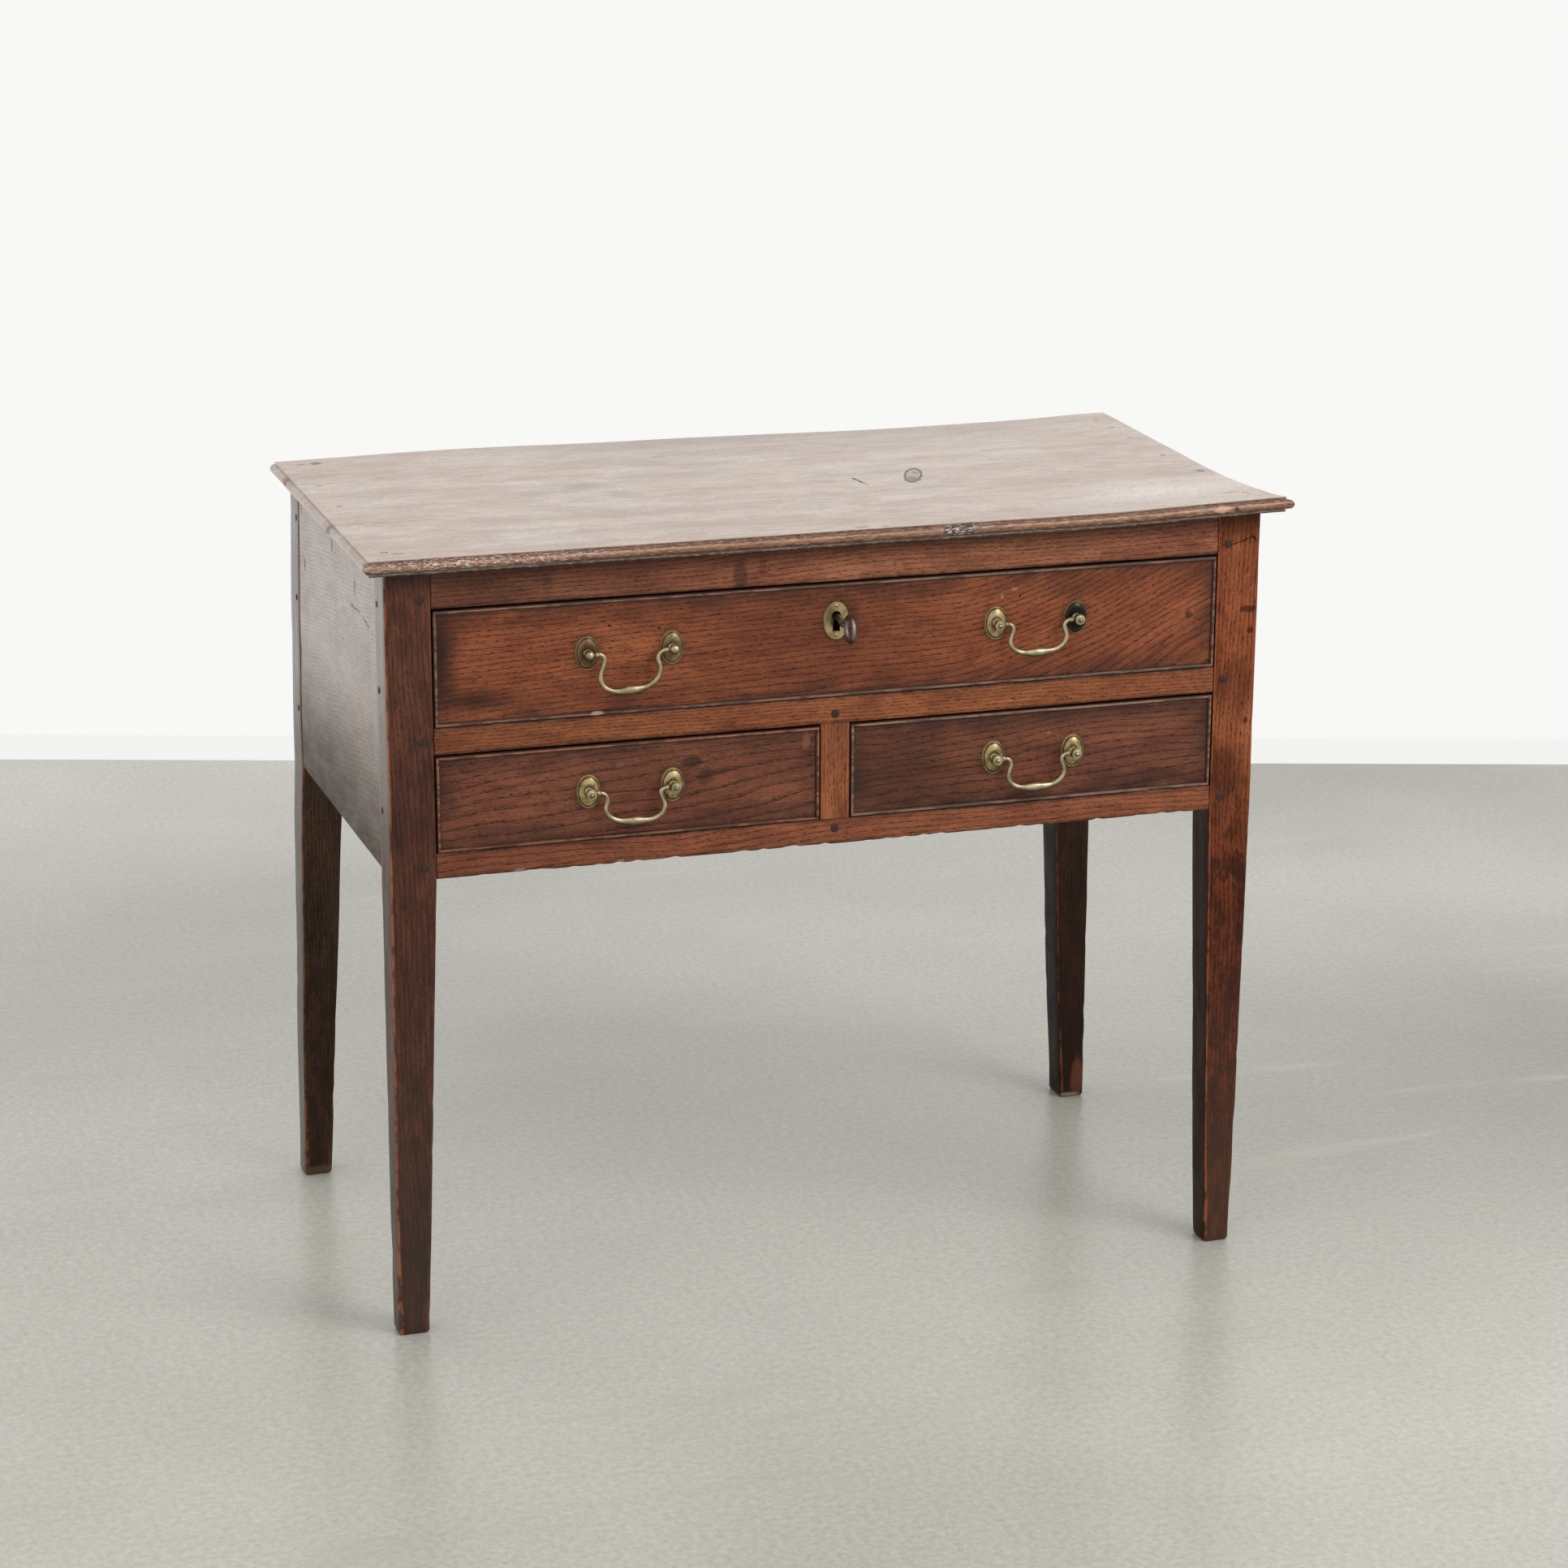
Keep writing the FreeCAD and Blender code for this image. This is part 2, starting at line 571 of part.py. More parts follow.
def drawer_nodes(name, tail_count):
    """The five boards of a drawer, dovetailed together, and its cockbead."""
    x0, x1, z0, z1 = drawer_box(name)
    back_y = DRAWER_BACK_Y
    side_z1 = z1 - SIDE_TOP_DROP
    floor_z = z0 + BOTTOM_RISE + BOTTOM_T
    lap_y = FRONT_SET + FRONT_LAP

    face = box(x0 + BEAD_W, x1 - BEAD_W, FRONT_SET, FRONT_SET + BEAD_D, z0 + BEAD_W, z1 - BEAD_W)
    front = joined([face, box(x0, x1, FRONT_SET + BEAD_D, FRONT_BACK_Y, z0, z1)])
    back = box(x0, x1, back_y - BACK_BOARD_T, back_y, floor_z, side_z1 - BACK_TOP_DROP)
    ends = ((x0, x0 + SIDE_T), (x1 - SIDE_T, x1))
    for end in ends:
        front = cut_all(front, tails(*end, FRONT_BACK_Y, lap_y, z0, side_z1, tail_count))
        back = cut_all(back, tails(*end, back_y - BACK_BOARD_T, back_y,
                                   floor_z, side_z1 - BACK_TOP_DROP, tail_count))
    groove = box(x0 + SIDE_T - GROOVE_D, x1 - SIDE_T + GROOVE_D, FRONT_BACK_Y - GROOVE_D, back_y,
                 z0 + BOTTOM_RISE, floor_z)
    sides = [box(*end, lap_y, back_y, z0, side_z1).cut([front, back, groove]) for end in ends]
    front = front.cut(groove)
    return {"front": front, "side_left": largest(sides[0]), "side_right": largest(sides[1]),
            "back": back, "bottom": groove, "beads": cockbead(x0, x1, z0, z1)}


def largest(shape):
    """The board itself, without the slivers that a cut may leave."""
    return max(shape.Solids, key=lambda solid: solid.Volume)


def cockbead(x0, x1, z0, z1):
    """Four mitred strips with a round nose, let in round a drawer front."""
    nose = BEAD_W / 2

    def strip(start, across, along, mitre):
        """A strip from start; across points over its width, along is its length."""
        inner = start + across * BEAD_W
        deep = V(0, BEAD_D, 0)
        tip = start + across * nose + V(0, -nose, 0)
        edges = [Part.Arc(start, tip, inner).toShape()]
        edges += Part.makePolygon([inner, inner + deep, start + deep, start]).Edges
        bar = Part.Face(Part.Wire(edges)).extrude(along)
        corners = [V(x, start.y - BEAD_W, z) for x, z in mitre]
        return bar.common(face_of(corners).extrude(V(0, BEAD_W + 2 * BEAD_D, 0)))

    w = BEAD_W
    y = FRONT_SET
    long_x, long_z = V(x1 - x0, 0, 0), V(0, 0, z1 - z0)
    return [
        strip(V(x0, y, z0), V(0, 0, 1), long_x, [(x0, z0), (x1, z0), (x1 - w, z0 + w), (x0 + w, z0 + w)]),
        strip(V(x0, y, z1), V(0, 0, -1), long_x, [(x0, z1), (x1, z1), (x1 - w, z1 - w), (x0 + w, z1 - w)]),
        strip(V(x0, y, z0), V(1, 0, 0), long_z, [(x0, z0), (x0, z1), (x0 + w, z1 - w), (x0 + w, z0 + w)]),
        strip(V(x1, y, z0), V(-1, 0, 0), long_z, [(x1, z0), (x1, z1), (x1 - w, z1 - w), (x1 - w, z0 + w)]),
    ]


# ---- handles ----------------------------------------------------------------
def post_places(handle):
    """Where the two posts of a handle stand: x, z and the side towards the bail."""
    x, z = HANDLES[handle]
    return [(x - HANDLE_SPAN / 2, z, 1), (x + HANDLE_SPAN / 2, z, -1)]


def post_holes(handle):
    """Holes through the drawer front for a handle's posts."""
    radius = POST_SHANK_R + POST_HOLE_FIT
    return [rod(x, FRONT_SET - 1, z, V(0, 1, 0), radius, FRONT_T + 2)
            for x, z, _ in post_places(handle)]


def handle_posts(handle):
    """Turned posts with drilled ball heads, each with its square nut inside the drawer."""
    rose_y = FRONT_SET - ROSE_RIM_T - ROSE_STEP_T
    tail_y = FRONT_BACK_Y + NUT_T + POST_PAST_NUT
    solids = []
    for x, z, inward in post_places(handle):
        head_back = HANDLE_Y + math.sqrt(HEAD_R ** 2 - POST_NECK_R ** 2)
        line = [V(0, tail_y, 0), V(POST_SHANK_R, tail_y, 0), V(POST_SHANK_R, rose_y, 0),
                V(POST_BOSS_R, rose_y, 0), V(POST_NECK_R, rose_y - POST_BOSS_H, 0),
                V(POST_NECK_R, head_back, 0)]
        tip = V(0, HANDLE_Y - HEAD_R, 0)
        round_head = Part.Arc(line[-1], V(HEAD_R, HANDLE_Y, 0), tip).toShape()
        axis = Part.makeLine(tip, line[0])
        wire = Part.Wire(list(Part.makePolygon(line).Edges) + [round_head, axis])
        post = Part.Face(wire).revolve(V(0, 0, 0), V(0, 1, 0), 360)
        post.translate(V(x, 0, z))
        if handle not in PLAIN_HEADS:
            ring_y = HANDLE_Y - HEAD_R * 0.55
            post = joined([post, rod(x, ring_y, z, V(0, -1, 0), HEAD_R, 1.2),
                           Part.makeSphere(HEAD_R * 0.45, V(x, HANDLE_Y - HEAD_R, z))])
        hole = rod(x + inward * HEAD_R * 0.2, HANDLE_Y, z, V(inward, 0, 0),
                   BAIL_PIN_R + BAIL_PIN_FIT, 2 * HEAD_R)
        solids.append(post.cut(hole))
        nut = box(x - NUT_SIDE / 2, x + NUT_SIDE / 2, FRONT_BACK_Y, FRONT_BACK_Y + NUT_T,
                  z - NUT_SIDE / 2, z + NUT_SIDE / 2)
        bore = rod(x, FRONT_BACK_Y, z, V(0, 1, 0), POST_SHANK_R + PEG_FIT, NUT_T)
        solids.append(nut.cut(bore))
    return solids


def oval(half_w, half_h, x, y, z):
    """An upright oval in a plane across Y."""
    ellipse = Part.Ellipse(V(0, 0, 0), half_h, half_w)
    wire = Part.Wire(ellipse.toShape())
    wire.rotate(V(0, 0, 0), V(0, 0, 1), 90)      # long axis to Y, still flat
    wire.rotate(V(0, 0, 0), V(1, 0, 0), 90)      # stand it up: long axis to Z
    wire.translate(V(x, y, z))
    return wire


def oval_plate(half_w, half_h, bevel, thick, x, y, z):
    """An oval plate whose face, towards -Y, is smaller than its back by a bevel."""
    back = oval(half_w, half_h, x, y, z)
    front = oval(half_w - bevel, half_h - bevel, x, y - thick, z)
    return Part.makeLoft([back, front], True, True)


def roses(handle):
    """Stepped oval backplates, one behind each post."""
    plates = []
    for x, z, _ in post_places(handle):
        rim = oval_plate(ROSE_HALF_W, ROSE_HALF_H, ROSE_RIM_T * 0.6, ROSE_RIM_T, x, FRONT_SET, z)
        inset = ROSE_RIM_T * 1.7
        field = oval_plate(ROSE_HALF_W - inset, ROSE_HALF_H - inset, ROSE_STEP_T * 0.7,
                           ROSE_STEP_T, x, FRONT_SET - ROSE_RIM_T, z)
        hole = rod(x, FRONT_SET + 1, z, V(0, -1, 0), POST_SHANK_R + POST_HOLE_FIT, 5)
        plates.append(joined([rim, field]).cut(hole))
    return plates


def bail_half_line(drop):
    """Half of the bail's line as (inward from the post, down): elbow, swan neck, corner, bar."""
    elbow = [(6.0, 0.0), (10.6, 0.2), (14.2, 3.8)]
    neck = [(13.8, 0.30 * drop), (11.8, 0.54 * drop)]
    corner = [(13.9, 0.77 * drop), (17.6, 0.88 * drop), (22.2, 0.955 * drop), (29.0, 0.995 * drop)]
    return elbow + neck + corner


def bail_radius(x, down, drop):
    """Radius of the bail: a little thicker down the arms, swelling to the middle of the grip."""
    plain = BAIL_ARM_R + (BAIL_BAR_R - BAIL_ARM_R) * max(0.0, down / drop)
    if down < drop / 2 or abs(x) > BAIL_GRIP_HALF:
        return plain
    swell = math.cos(math.pi / 2 * abs(x) / BAIL_GRIP_HALF) ** 2
    return plain + (BAIL_GRIP_R - plain) * swell


def bail(handle):
    """A swan-neck bail, its ends pinned into the posts' heads."""
    cx, cz = HANDLES[handle]
    drop = BAIL_DROPS[handle]
    half = HANDLE_SPAN / 2
    right = [(half - inward, down) for inward, down in bail_half_line(drop)]
    line = [(-x, down) for x, down in right] + [(0.0, drop)] + right[::-1]
    curve = Part.BSplineCurve()
    curve.interpolate([V(x, 0, -down) for x, down in line])
    first, last = curve.FirstParameter, curve.LastParameter
    sections = []
    for i in range(BAIL_SECTIONS):
        t = first + (last - first) * i / (BAIL_SECTIONS - 1)
        point = curve.value(t)
        radius = bail_radius(point.x, -point.z, drop)
        sections.append(Part.Wire(Part.makeCircle(radius, point, curve.tangent(t)[0])))
    parts = [Part.makeLoft(sections, True, False)]
    for side in (-1, 1):
        pin_tip = side * (half - HEAD_R * 0.3)
        parts.append(rod(pin_tip, 0, 0, V(-side, 0, 0), BAIL_PIN_R, HEAD_R + 1))
        collar_x = side * (half - HEAD_R - 0.7)
        parts.append(rod(collar_x, 0, 0, V(-side, 0, 0), BAIL_COLLAR_R, BAIL_COLLAR_L))
    whole = parts[0].multiFuse(parts[1:])
    whole.translate(V(cx, HANDLE_Y, cz))
    return whole


# ---- lock, escutcheon and key -----------------------------------------------
def keyhole(y0, y1):
    """The keyhole's shape between two depths: a round eye over a flared slot."""
    eye = rod(0, y0, KEY_Z, V(0, 1, 0), KEYHOLE_R, y1 - y0)
    foot_z = KEY_Z - KEYHOLE_SLOT
    slot = face_of([V(-KEYHOLE_NECK, y0, KEY_Z), V(KEYHOLE_NECK, y0, KEY_Z),
                    V(KEYHOLE_FOOT, y0, foot_z), V(-KEYHOLE_FOOT, y0, foot_z)])
    return joined([eye, slot.extrude(V(0, y1 - y0, 0))])


def lock_outline(room):
    """Outside of the lock box, grown by some room on the sides and below."""
    half = LOCK_BOX_W / 2 + room
    return box(-half, half, LOCK_BOX_Y, FRONT_BACK_Y, KEY_Z - LOCK_BELOW - room, LONG_TOP_Z)


def lock_plate():
    """The lock's back plate and the lip over the drawer's top edge, as one bent plate."""
    half = LOCK_PLATE_W / 2
    back = box(-half, half, FRONT_BACK_Y - LOCK_PLATE_T, FRONT_BACK_Y,
               KEY_Z - LOCK_BELOW - 4, LONG_TOP_Z)
    lip = box(-half, half, LOCK_BOX_Y + LOCK_WALL * 2, FRONT_BACK_Y,
              LONG_TOP_Z - LOCK_PLATE_T, LONG_TOP_Z)
    return joined([back, lip])


def bolt_shape(width_room=0.0, depth_room=0.0):
    """The bolt's head as a block, from below the lip to the drawer's top edge."""
    half = BOLT_HEAD_W / 2 + width_room
    y1 = FRONT_BACK_Y - LOCK_PLATE_T - LOCK_FIT
    return box(-half, half, y1 - BOLT_HEAD_T - depth_room, y1 + min(depth_room, LOCK_FIT),
               LONG_TOP_Z - BOLT_HEAD_L, LONG_TOP_Z - RUN_GAP)


def bolt_mortise():
    """The pocket in the top rail that the thrown bolt enters."""
    half = BOLT_HEAD_W / 2 + BOLT_MORTISE_GAP
    y1 = FRONT_BACK_Y - LOCK_PLATE_T - LOCK_FIT
    return box(-half, half, y1 - BOLT_HEAD_T - BOLT_MORTISE_GAP, y1 + BOLT_MORTISE_GAP,
               TOP_RAIL_Z, TOP_RAIL_Z + BOLT_TRAVEL)


def tilt_with_key(shape):
    """Turn a shape by the key's droop about the tip of the key."""
    shape = shape.copy()
    shape.rotate(V(0, KEY_TIP_Y, KEY_Z), V(1, 0, 0), KEY_DROOP)
    return shape


def lock_case():
    """The box of the lock on its plate, with the pin that the hollow key turns on."""
    wall = LOCK_WALL
    shell = lock_outline(0)
    half = LOCK_BOX_W / 2 - wall
    plate_y = FRONT_BACK_Y - LOCK_PLATE_T
    hollow = box(-half, half, LOCK_BOX_Y + wall, plate_y, KEY_Z - LOCK_BELOW + wall,
                 LONG_TOP_Z - LOCK_PLATE_T)
    body = joined([shell, lock_plate()]).cut([hollow, keyhole(LOCK_BOX_Y - 1, LOCK_BOX_Y + wall)])
    body = body.cut(bolt_shape(LOCK_FIT, LOCK_FIT).fuse(
        bolt_shape(LOCK_FIT, LOCK_FIT).translated(V(0, 0, RUN_GAP))))
    pin_l = plate_y - KEY_TIP_Y + KEY_BORE_L - 2
    pin = tilt_with_key(rod(0, plate_y + LOCK_PLATE_T / 2, KEY_Z, V(0, -1, 0), LOCK_PIN_R, pin_l))
    return largest(joined([body, pin]))


def lock_pocket():
    """What is cut from the long drawer's front for the lock and the keyhole."""
    return [lock_outline(LOCK_FIT), lock_plate(),
            keyhole(FRONT_SET - 1, LOCK_BOX_Y + 1)]


def lock_bolt():
    """The sliding bolt: a slotted plate with the head that enters the top rail."""
    y1 = FRONT_BACK_Y - LOCK_PLATE_T - LOCK_FIT
    plate = box(-BOLT_PLATE_W / 2, BOLT_PLATE_W / 2, y1 - BOLT_PLATE_T, y1,
                LONG_TOP_Z - LOCK_PLATE_T - BOLT_TRAVEL - RUN_GAP - BOLT_PLATE_L,
                LONG_TOP_Z - LOCK_PLATE_T - BOLT_TRAVEL - RUN_GAP)
    room = LOCK_PIN_R + 3 * LOCK_FIT
    slot = box(-room, room, y1 - BOLT_PLATE_T, y1, KEY_Z - BOLT_TRAVEL - room, KEY_Z + room)
    return joined([plate, bolt_shape()]).cut(slot)


def escutcheon_pins(fit=0.0):
    """The two nails of the escutcheon."""
    face_y = FRONT_SET - ESCUTCHEON_T
    nails = []
    for up in ESCUTCHEON_PIN_Z:
        z = KEY_Z + up
        shank = rod(0, face_y, z, V(0, 1, 0), ESCUTCHEON_PIN_R + fit, ESCUTCHEON_PIN_L)
        head = Part.makeCone(PIN_HEAD_R, PIN_HEAD_R / 2, PIN_HEAD_H, V(0, face_y, z), V(0, -1, 0))
        nails.append(shank if fit else joined([shank, head]))
    return nails


def escutcheon():
    """The oval plate round the keyhole."""
    plate = oval_plate(ESCUTCHEON_HALF_W, ESCUTCHEON_HALF_H, ESCUTCHEON_T / 2, ESCUTCHEON_T,
                       0, FRONT_SET, KEY_Z - ESCUTCHEON_DOWN)
    return plate.cut([keyhole(FRONT_SET - ESCUTCHEON_T - 1, FRONT_SET + 1)] + escutcheon_pins(PEG_FIT))


def key():
    """The iron key in the lock, bit down: hollow shank, collars and a ring bow."""
    bow_y = FRONT_SET - KEY_BOW_OUT
    shank_end = bow_y + KEY_BOW_R
    shank = rod(0, shank_end, KEY_Z, V(0, 1, 0), KEY_SHANK_R, KEY_TIP_Y - shank_end)
    bit = box(-KEY_BIT_T / 2, KEY_BIT_T / 2, KEY_TIP_Y - KEY_BIT_W, KEY_TIP_Y,
              KEY_Z - KEY_BIT_REACH, KEY_Z)
    bow = Part.makeTorus(KEY_BOW_R, KEY_BOW_WIRE_R, V(0, bow_y, KEY_Z), V(1, 0, 0))
    parts = [shank, bit, bow]
    for i in range(KEY_COLLARS):
        y = FRONT_SET - KEY_COLLAR_OUT - i * KEY_COLLAR_PITCH
        for half in (-1, 1):
            parts.append(Part.makeCone(KEY_COLLAR_R, KEY_SHANK_R, KEY_COLLAR_PITCH / 2,
                                       V(0, y, KEY_Z), V(0, half, 0)))
    bore = rod(0, KEY_TIP_Y - KEY_BORE_L, KEY_Z, V(0, 1, 0), LOCK_PIN_R + KEY_BORE_FIT, KEY_BORE_L)
    return tilt_with_key(joined(parts).cut(bore))


# ---- the whole --------------------------------------------------------------
def build_frame():
    """Legs, rails, boards, runners and pegs."""
    for front in (True, False):
        for side in (-1, 1):
            where = ("front_" if front else "back_") + ("left" if side < 0 else "right")
            save("leg_" + where, leg(front, side))
    for name in rail_heights():
        save(name, rail(name))
    save("muntin", muntin())
    for side, word in ((-1, "left"), (1, "right")):
        save("side_panel_" + word, side_panel(side))
        save("long_drawer_runner_" + word, side_runner(side, LONG_Z))
        save("small_drawer_runner_" + word, side_runner(side, SMALL_Z))
        save("kicker_" + word, kicker(side))
    save("back_panel", back_panel())
    for name, board in top_boards().items():
        save(name, board)
    save("small_drawer_runner_centre", centre_runner())
    save("centre_guide", centre_guide())
    save("drawer_stops", drawer_stops())
    save("front_pegs", front_pegs())
    save("side_pegs", side_pegs())
    save("back_pegs", back_pegs())
    save("top_pegs", top_pegs())


def build_drawer(name, handles, tail_count):
    """One drawer with its beads and handles."""
    nodes = drawer_nodes(name, tail_count)
    holes = [hole for handle in handles for hole in post_holes(handle)]
    if name == "long":
        holes += lock_pocket() + escutcheon_pins(PEG_FIT)
    nodes["front"] = largest(cut_all(nodes["front"], holes))
    nodes["roses"] = [plate for handle in handles for plate in roses(handle)]
    nodes["handle_posts"] = [post for handle in handles for post in handle_posts(handle)]
    for part_name, shape in nodes.items():
        save(name + "_drawer_" + part_name, shape)
    for handle in handles:
        save(handle + ("_bail" if name == "long" else "_drawer_bail"), bail(handle))


def main():
    os.makedirs("parts", exist_ok=True)
    build_frame()
    build_drawer("long", ("long_left", "long_right"), 3)
    build_drawer("left", ("left",), 3)
    build_drawer("right", ("right",), 3)
    save("lock_case", lock_case())
    save("lock_bolt", lock_bolt())
    save("escutcheon", escutcheon())
    save("escutcheon_pins", escutcheon_pins())
    save("key", key())


main()
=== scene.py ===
import json
from math import cos, inf, radians, sin, sqrt

import bmesh
import bpy
from mathutils import Matrix, Vector, noise


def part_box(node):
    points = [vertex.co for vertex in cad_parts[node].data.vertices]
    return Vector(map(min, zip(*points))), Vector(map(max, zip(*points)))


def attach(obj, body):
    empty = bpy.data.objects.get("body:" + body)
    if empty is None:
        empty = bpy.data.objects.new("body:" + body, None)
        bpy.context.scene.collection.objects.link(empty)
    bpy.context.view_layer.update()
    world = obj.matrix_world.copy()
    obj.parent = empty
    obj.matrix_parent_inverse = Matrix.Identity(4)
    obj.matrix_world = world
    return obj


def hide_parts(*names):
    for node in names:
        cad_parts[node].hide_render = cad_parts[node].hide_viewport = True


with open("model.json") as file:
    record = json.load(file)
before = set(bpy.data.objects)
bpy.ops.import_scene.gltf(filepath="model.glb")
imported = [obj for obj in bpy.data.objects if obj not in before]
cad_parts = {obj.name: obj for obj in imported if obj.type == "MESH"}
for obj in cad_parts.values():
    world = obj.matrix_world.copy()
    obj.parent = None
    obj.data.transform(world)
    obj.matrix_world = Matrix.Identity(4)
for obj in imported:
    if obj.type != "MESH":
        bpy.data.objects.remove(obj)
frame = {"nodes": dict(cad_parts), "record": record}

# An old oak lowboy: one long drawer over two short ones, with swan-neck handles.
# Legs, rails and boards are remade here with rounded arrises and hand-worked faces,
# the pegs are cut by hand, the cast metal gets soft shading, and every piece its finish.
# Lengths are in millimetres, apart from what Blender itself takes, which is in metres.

MM = 0.001
noise.seed_set(7)            # without it the vector noise would differ from run to run
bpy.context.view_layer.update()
NODES = frame["nodes"]
BODY = {node: body for body, members in frame["record"]["behaviour"]["bodies"].items()
        for node in members}
SLOT = {part["node"]: part["material_slot"] for part in frame["record"]["subparts"]}


# ---- helpers ----------------------------------------------------------------
def box_mm(node):
    """Lowest and highest corner of a CAD piece."""
    low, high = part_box(node)
    return Vector(low) / MM, Vector(high) / MM


def extent(points):
    """Lowest and highest corner of a list of points."""
    return [Vector([pick(p[i] for p in points) for i in range(3)]) for pick in (min, max)]


def linear(hex_code):
    """A colour picked as sRGB hex, as the linear value that a shader wants."""
    parts = [int(hex_code[i:i + 2], 16) / 255 for i in (1, 3, 5)]
    return (*(c / 12.92 if c <= 0.04045 else ((c + 0.055) / 1.055) ** 2.4 for c in parts), 1.0)


def smooth(low, high, value):
    """0 below low, 1 above high, eased between them."""
    share = min(max((value - low) / (high - low), 0.0), 1.0)
    return share * share * (3 - 2 * share)


def along(table, place):
    """Value at a place from a table of (place, value) pairs, eased between them."""
    if place <= table[0][0]:
        return table[0][1]
    for (start, first), (end, last) in zip(table, table[1:]):
        if place <= end:
            return first + (last - first) * smooth(start, end, place)
    return table[-1][1]


def put(tree, kind, *inputs, out=0, named=None, **settings):
    """Add a node: its inputs in order, then by name, as values or sockets. Returns one output."""
    node = tree.nodes.new(kind)
    for key, value in settings.items():
        setattr(node, key, value)
    for key, value in list(enumerate(inputs)) + list((named or {}).items()):
        if isinstance(value, bpy.types.NodeSocket):
            tree.links.new(value, node.inputs[key])
        elif value is not None:
            node.inputs[key].default_value = value
    return node if out is None else node.outputs[out]


def placed(name, data):
    """A new object in the scene, at the origin."""
    thing = bpy.data.objects.new(name, data)
    bpy.context.scene.collection.objects.link(thing)
    return thing


def mesh_piece(name, bm, soft_angle=30):
    """Turn a bmesh into an object, shaded soft below an angle."""
    mesh = bpy.data.meshes.new(name)
    bm.to_mesh(mesh)
    bm.free()
    return shaded_piece(name, mesh, soft_angle)


def shaded_piece(name, mesh, soft_angle=30):
    """Put a mesh in the scene, shaded soft below an angle."""
    mesh.shade_smooth()
    mesh.set_sharp_from_angle(angle=radians(soft_angle))
    return placed(name, mesh)


def settled(thing):
    """The mesh that an object's modifiers make; the object itself goes."""
    ready = thing.evaluated_get(bpy.context.evaluated_depsgraph_get())
    mesh = bpy.data.meshes.new_from_object(ready)
    bpy.data.objects.remove(thing)
    return mesh


def stand_for(piece, name):
    """Put a piece in the place of a CAD piece, on its body."""
    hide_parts(name)
    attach(piece, BODY[name])
    return piece


def merged(name):
    """A bmesh of a CAD piece, with shared points joined."""
    bm = bmesh.new()
    bm.from_mesh(NODES[name].data)
    bmesh.ops.remove_doubles(bm, verts=bm.verts, dist=0.002 * MM)
    return bm


def sliced(bm, axis, step):
    """Cut a bmesh across an axis at even steps, so that it can bend."""
    step *= MM
    places = [v.co[axis] for v in bm.verts]
    low, high = min(places), max(places)
    normal = Vector((0, 0, 0))
    normal[axis] = 1
    for i in range(1, int((high - low) / step)):
        point = normal * (low + i * step)
        geometry = bm.verts[:] + bm.edges[:] + bm.faces[:]
        bmesh.ops.bisect_plane(bm, geom=geometry, dist=1e-7, plane_co=point, plane_no=normal)
    return bm


def solids_of(name):
    """Lowest and highest corner of each separate solid in a CAD piece."""
    bm = merged(name)
    left, boxes = set(bm.verts), []
    while left:
        queue, found = [left.pop()], []
        while queue:
            vert = queue.pop()
            found.append(vert.co / MM)
            near = {edge.other_vert(vert) for edge in vert.link_edges} & left
            left -= near
            queue += near
        boxes.append(extent(found))
    bm.free()
    return sorted(boxes, key=lambda box: tuple(box[0]))


def middles(name):
    """Middle of each separate solid in a CAD piece."""
    return [(low + high) / 2 for low, high in solids_of(name)]


# ---- wood: bars with rounded arrises ----------------------------------------
WOBBLE = 0.28                # how far scraped faces stray from true
WOBBLE_SPAN = 55.0           # over what distance they do
CASE_TOP = box_mm("top_rail")[1].z
APRON = box_mm("bottom_rail")[0].z
FRONT_LEG_BACK, BACK_LEG_FRONT = (corner.y for corner in box_mm("side_panel_left"))
# How far the case's back has racked along X, by height.
BACK_LEAN = ((0, -0.8), (200, -4.2), (400, -7.0), (475, -6.9), (575, -5.4), (727, -2.4))


def case_lean(point):
    """The back of the case has racked to the left over its height, the front has not."""
    share = min(1.0, max(0.0, (point.y - FRONT_LEG_BACK) / (BACK_LEG_FRONT - FRONT_LEG_BACK)))
    return Vector((along(BACK_LEAN, point.z) * share, 0, 0))


def hand_worked(point):
    """How far a scraped and worn face strays from true at a point."""
    return noise.noise_vector(point / WOBBLE_SPAN) * WOBBLE


def section(half_u, half_v, arris, cells_u, cells_v):
    """Points round a bar's section: across, up, and the distance to the nearest arris."""
    flat_u, flat_v = half_u - arris, half_v - arris
    corners = ((1, -1), (1, 1), (-1, 1), (-1, -1))
    points = []
    for i, (side_u, side_v) in enumerate(corners):
        for turn in (0, 30, 60, 90):
            angle = radians(90 * i - 90 + turn)
            points.append((side_u * flat_u + arris * cos(angle),
                           side_v * flat_v + arris * sin(angle), 0.0))
        next_u, next_v = corners[(i + 1) % 4]
        cells, width = (cells_v, 2 * flat_v) if side_u == next_u else (cells_u, 2 * flat_u)
        start = Vector(points[-1][:2])
        run = Vector(((next_u - side_u) * flat_u, (next_v - side_v) * flat_v))
        for step in range(1, cells):
            u, v = start + run * step / cells
            points.append((u, v, min(step, cells - step) / cells * width))
    return points


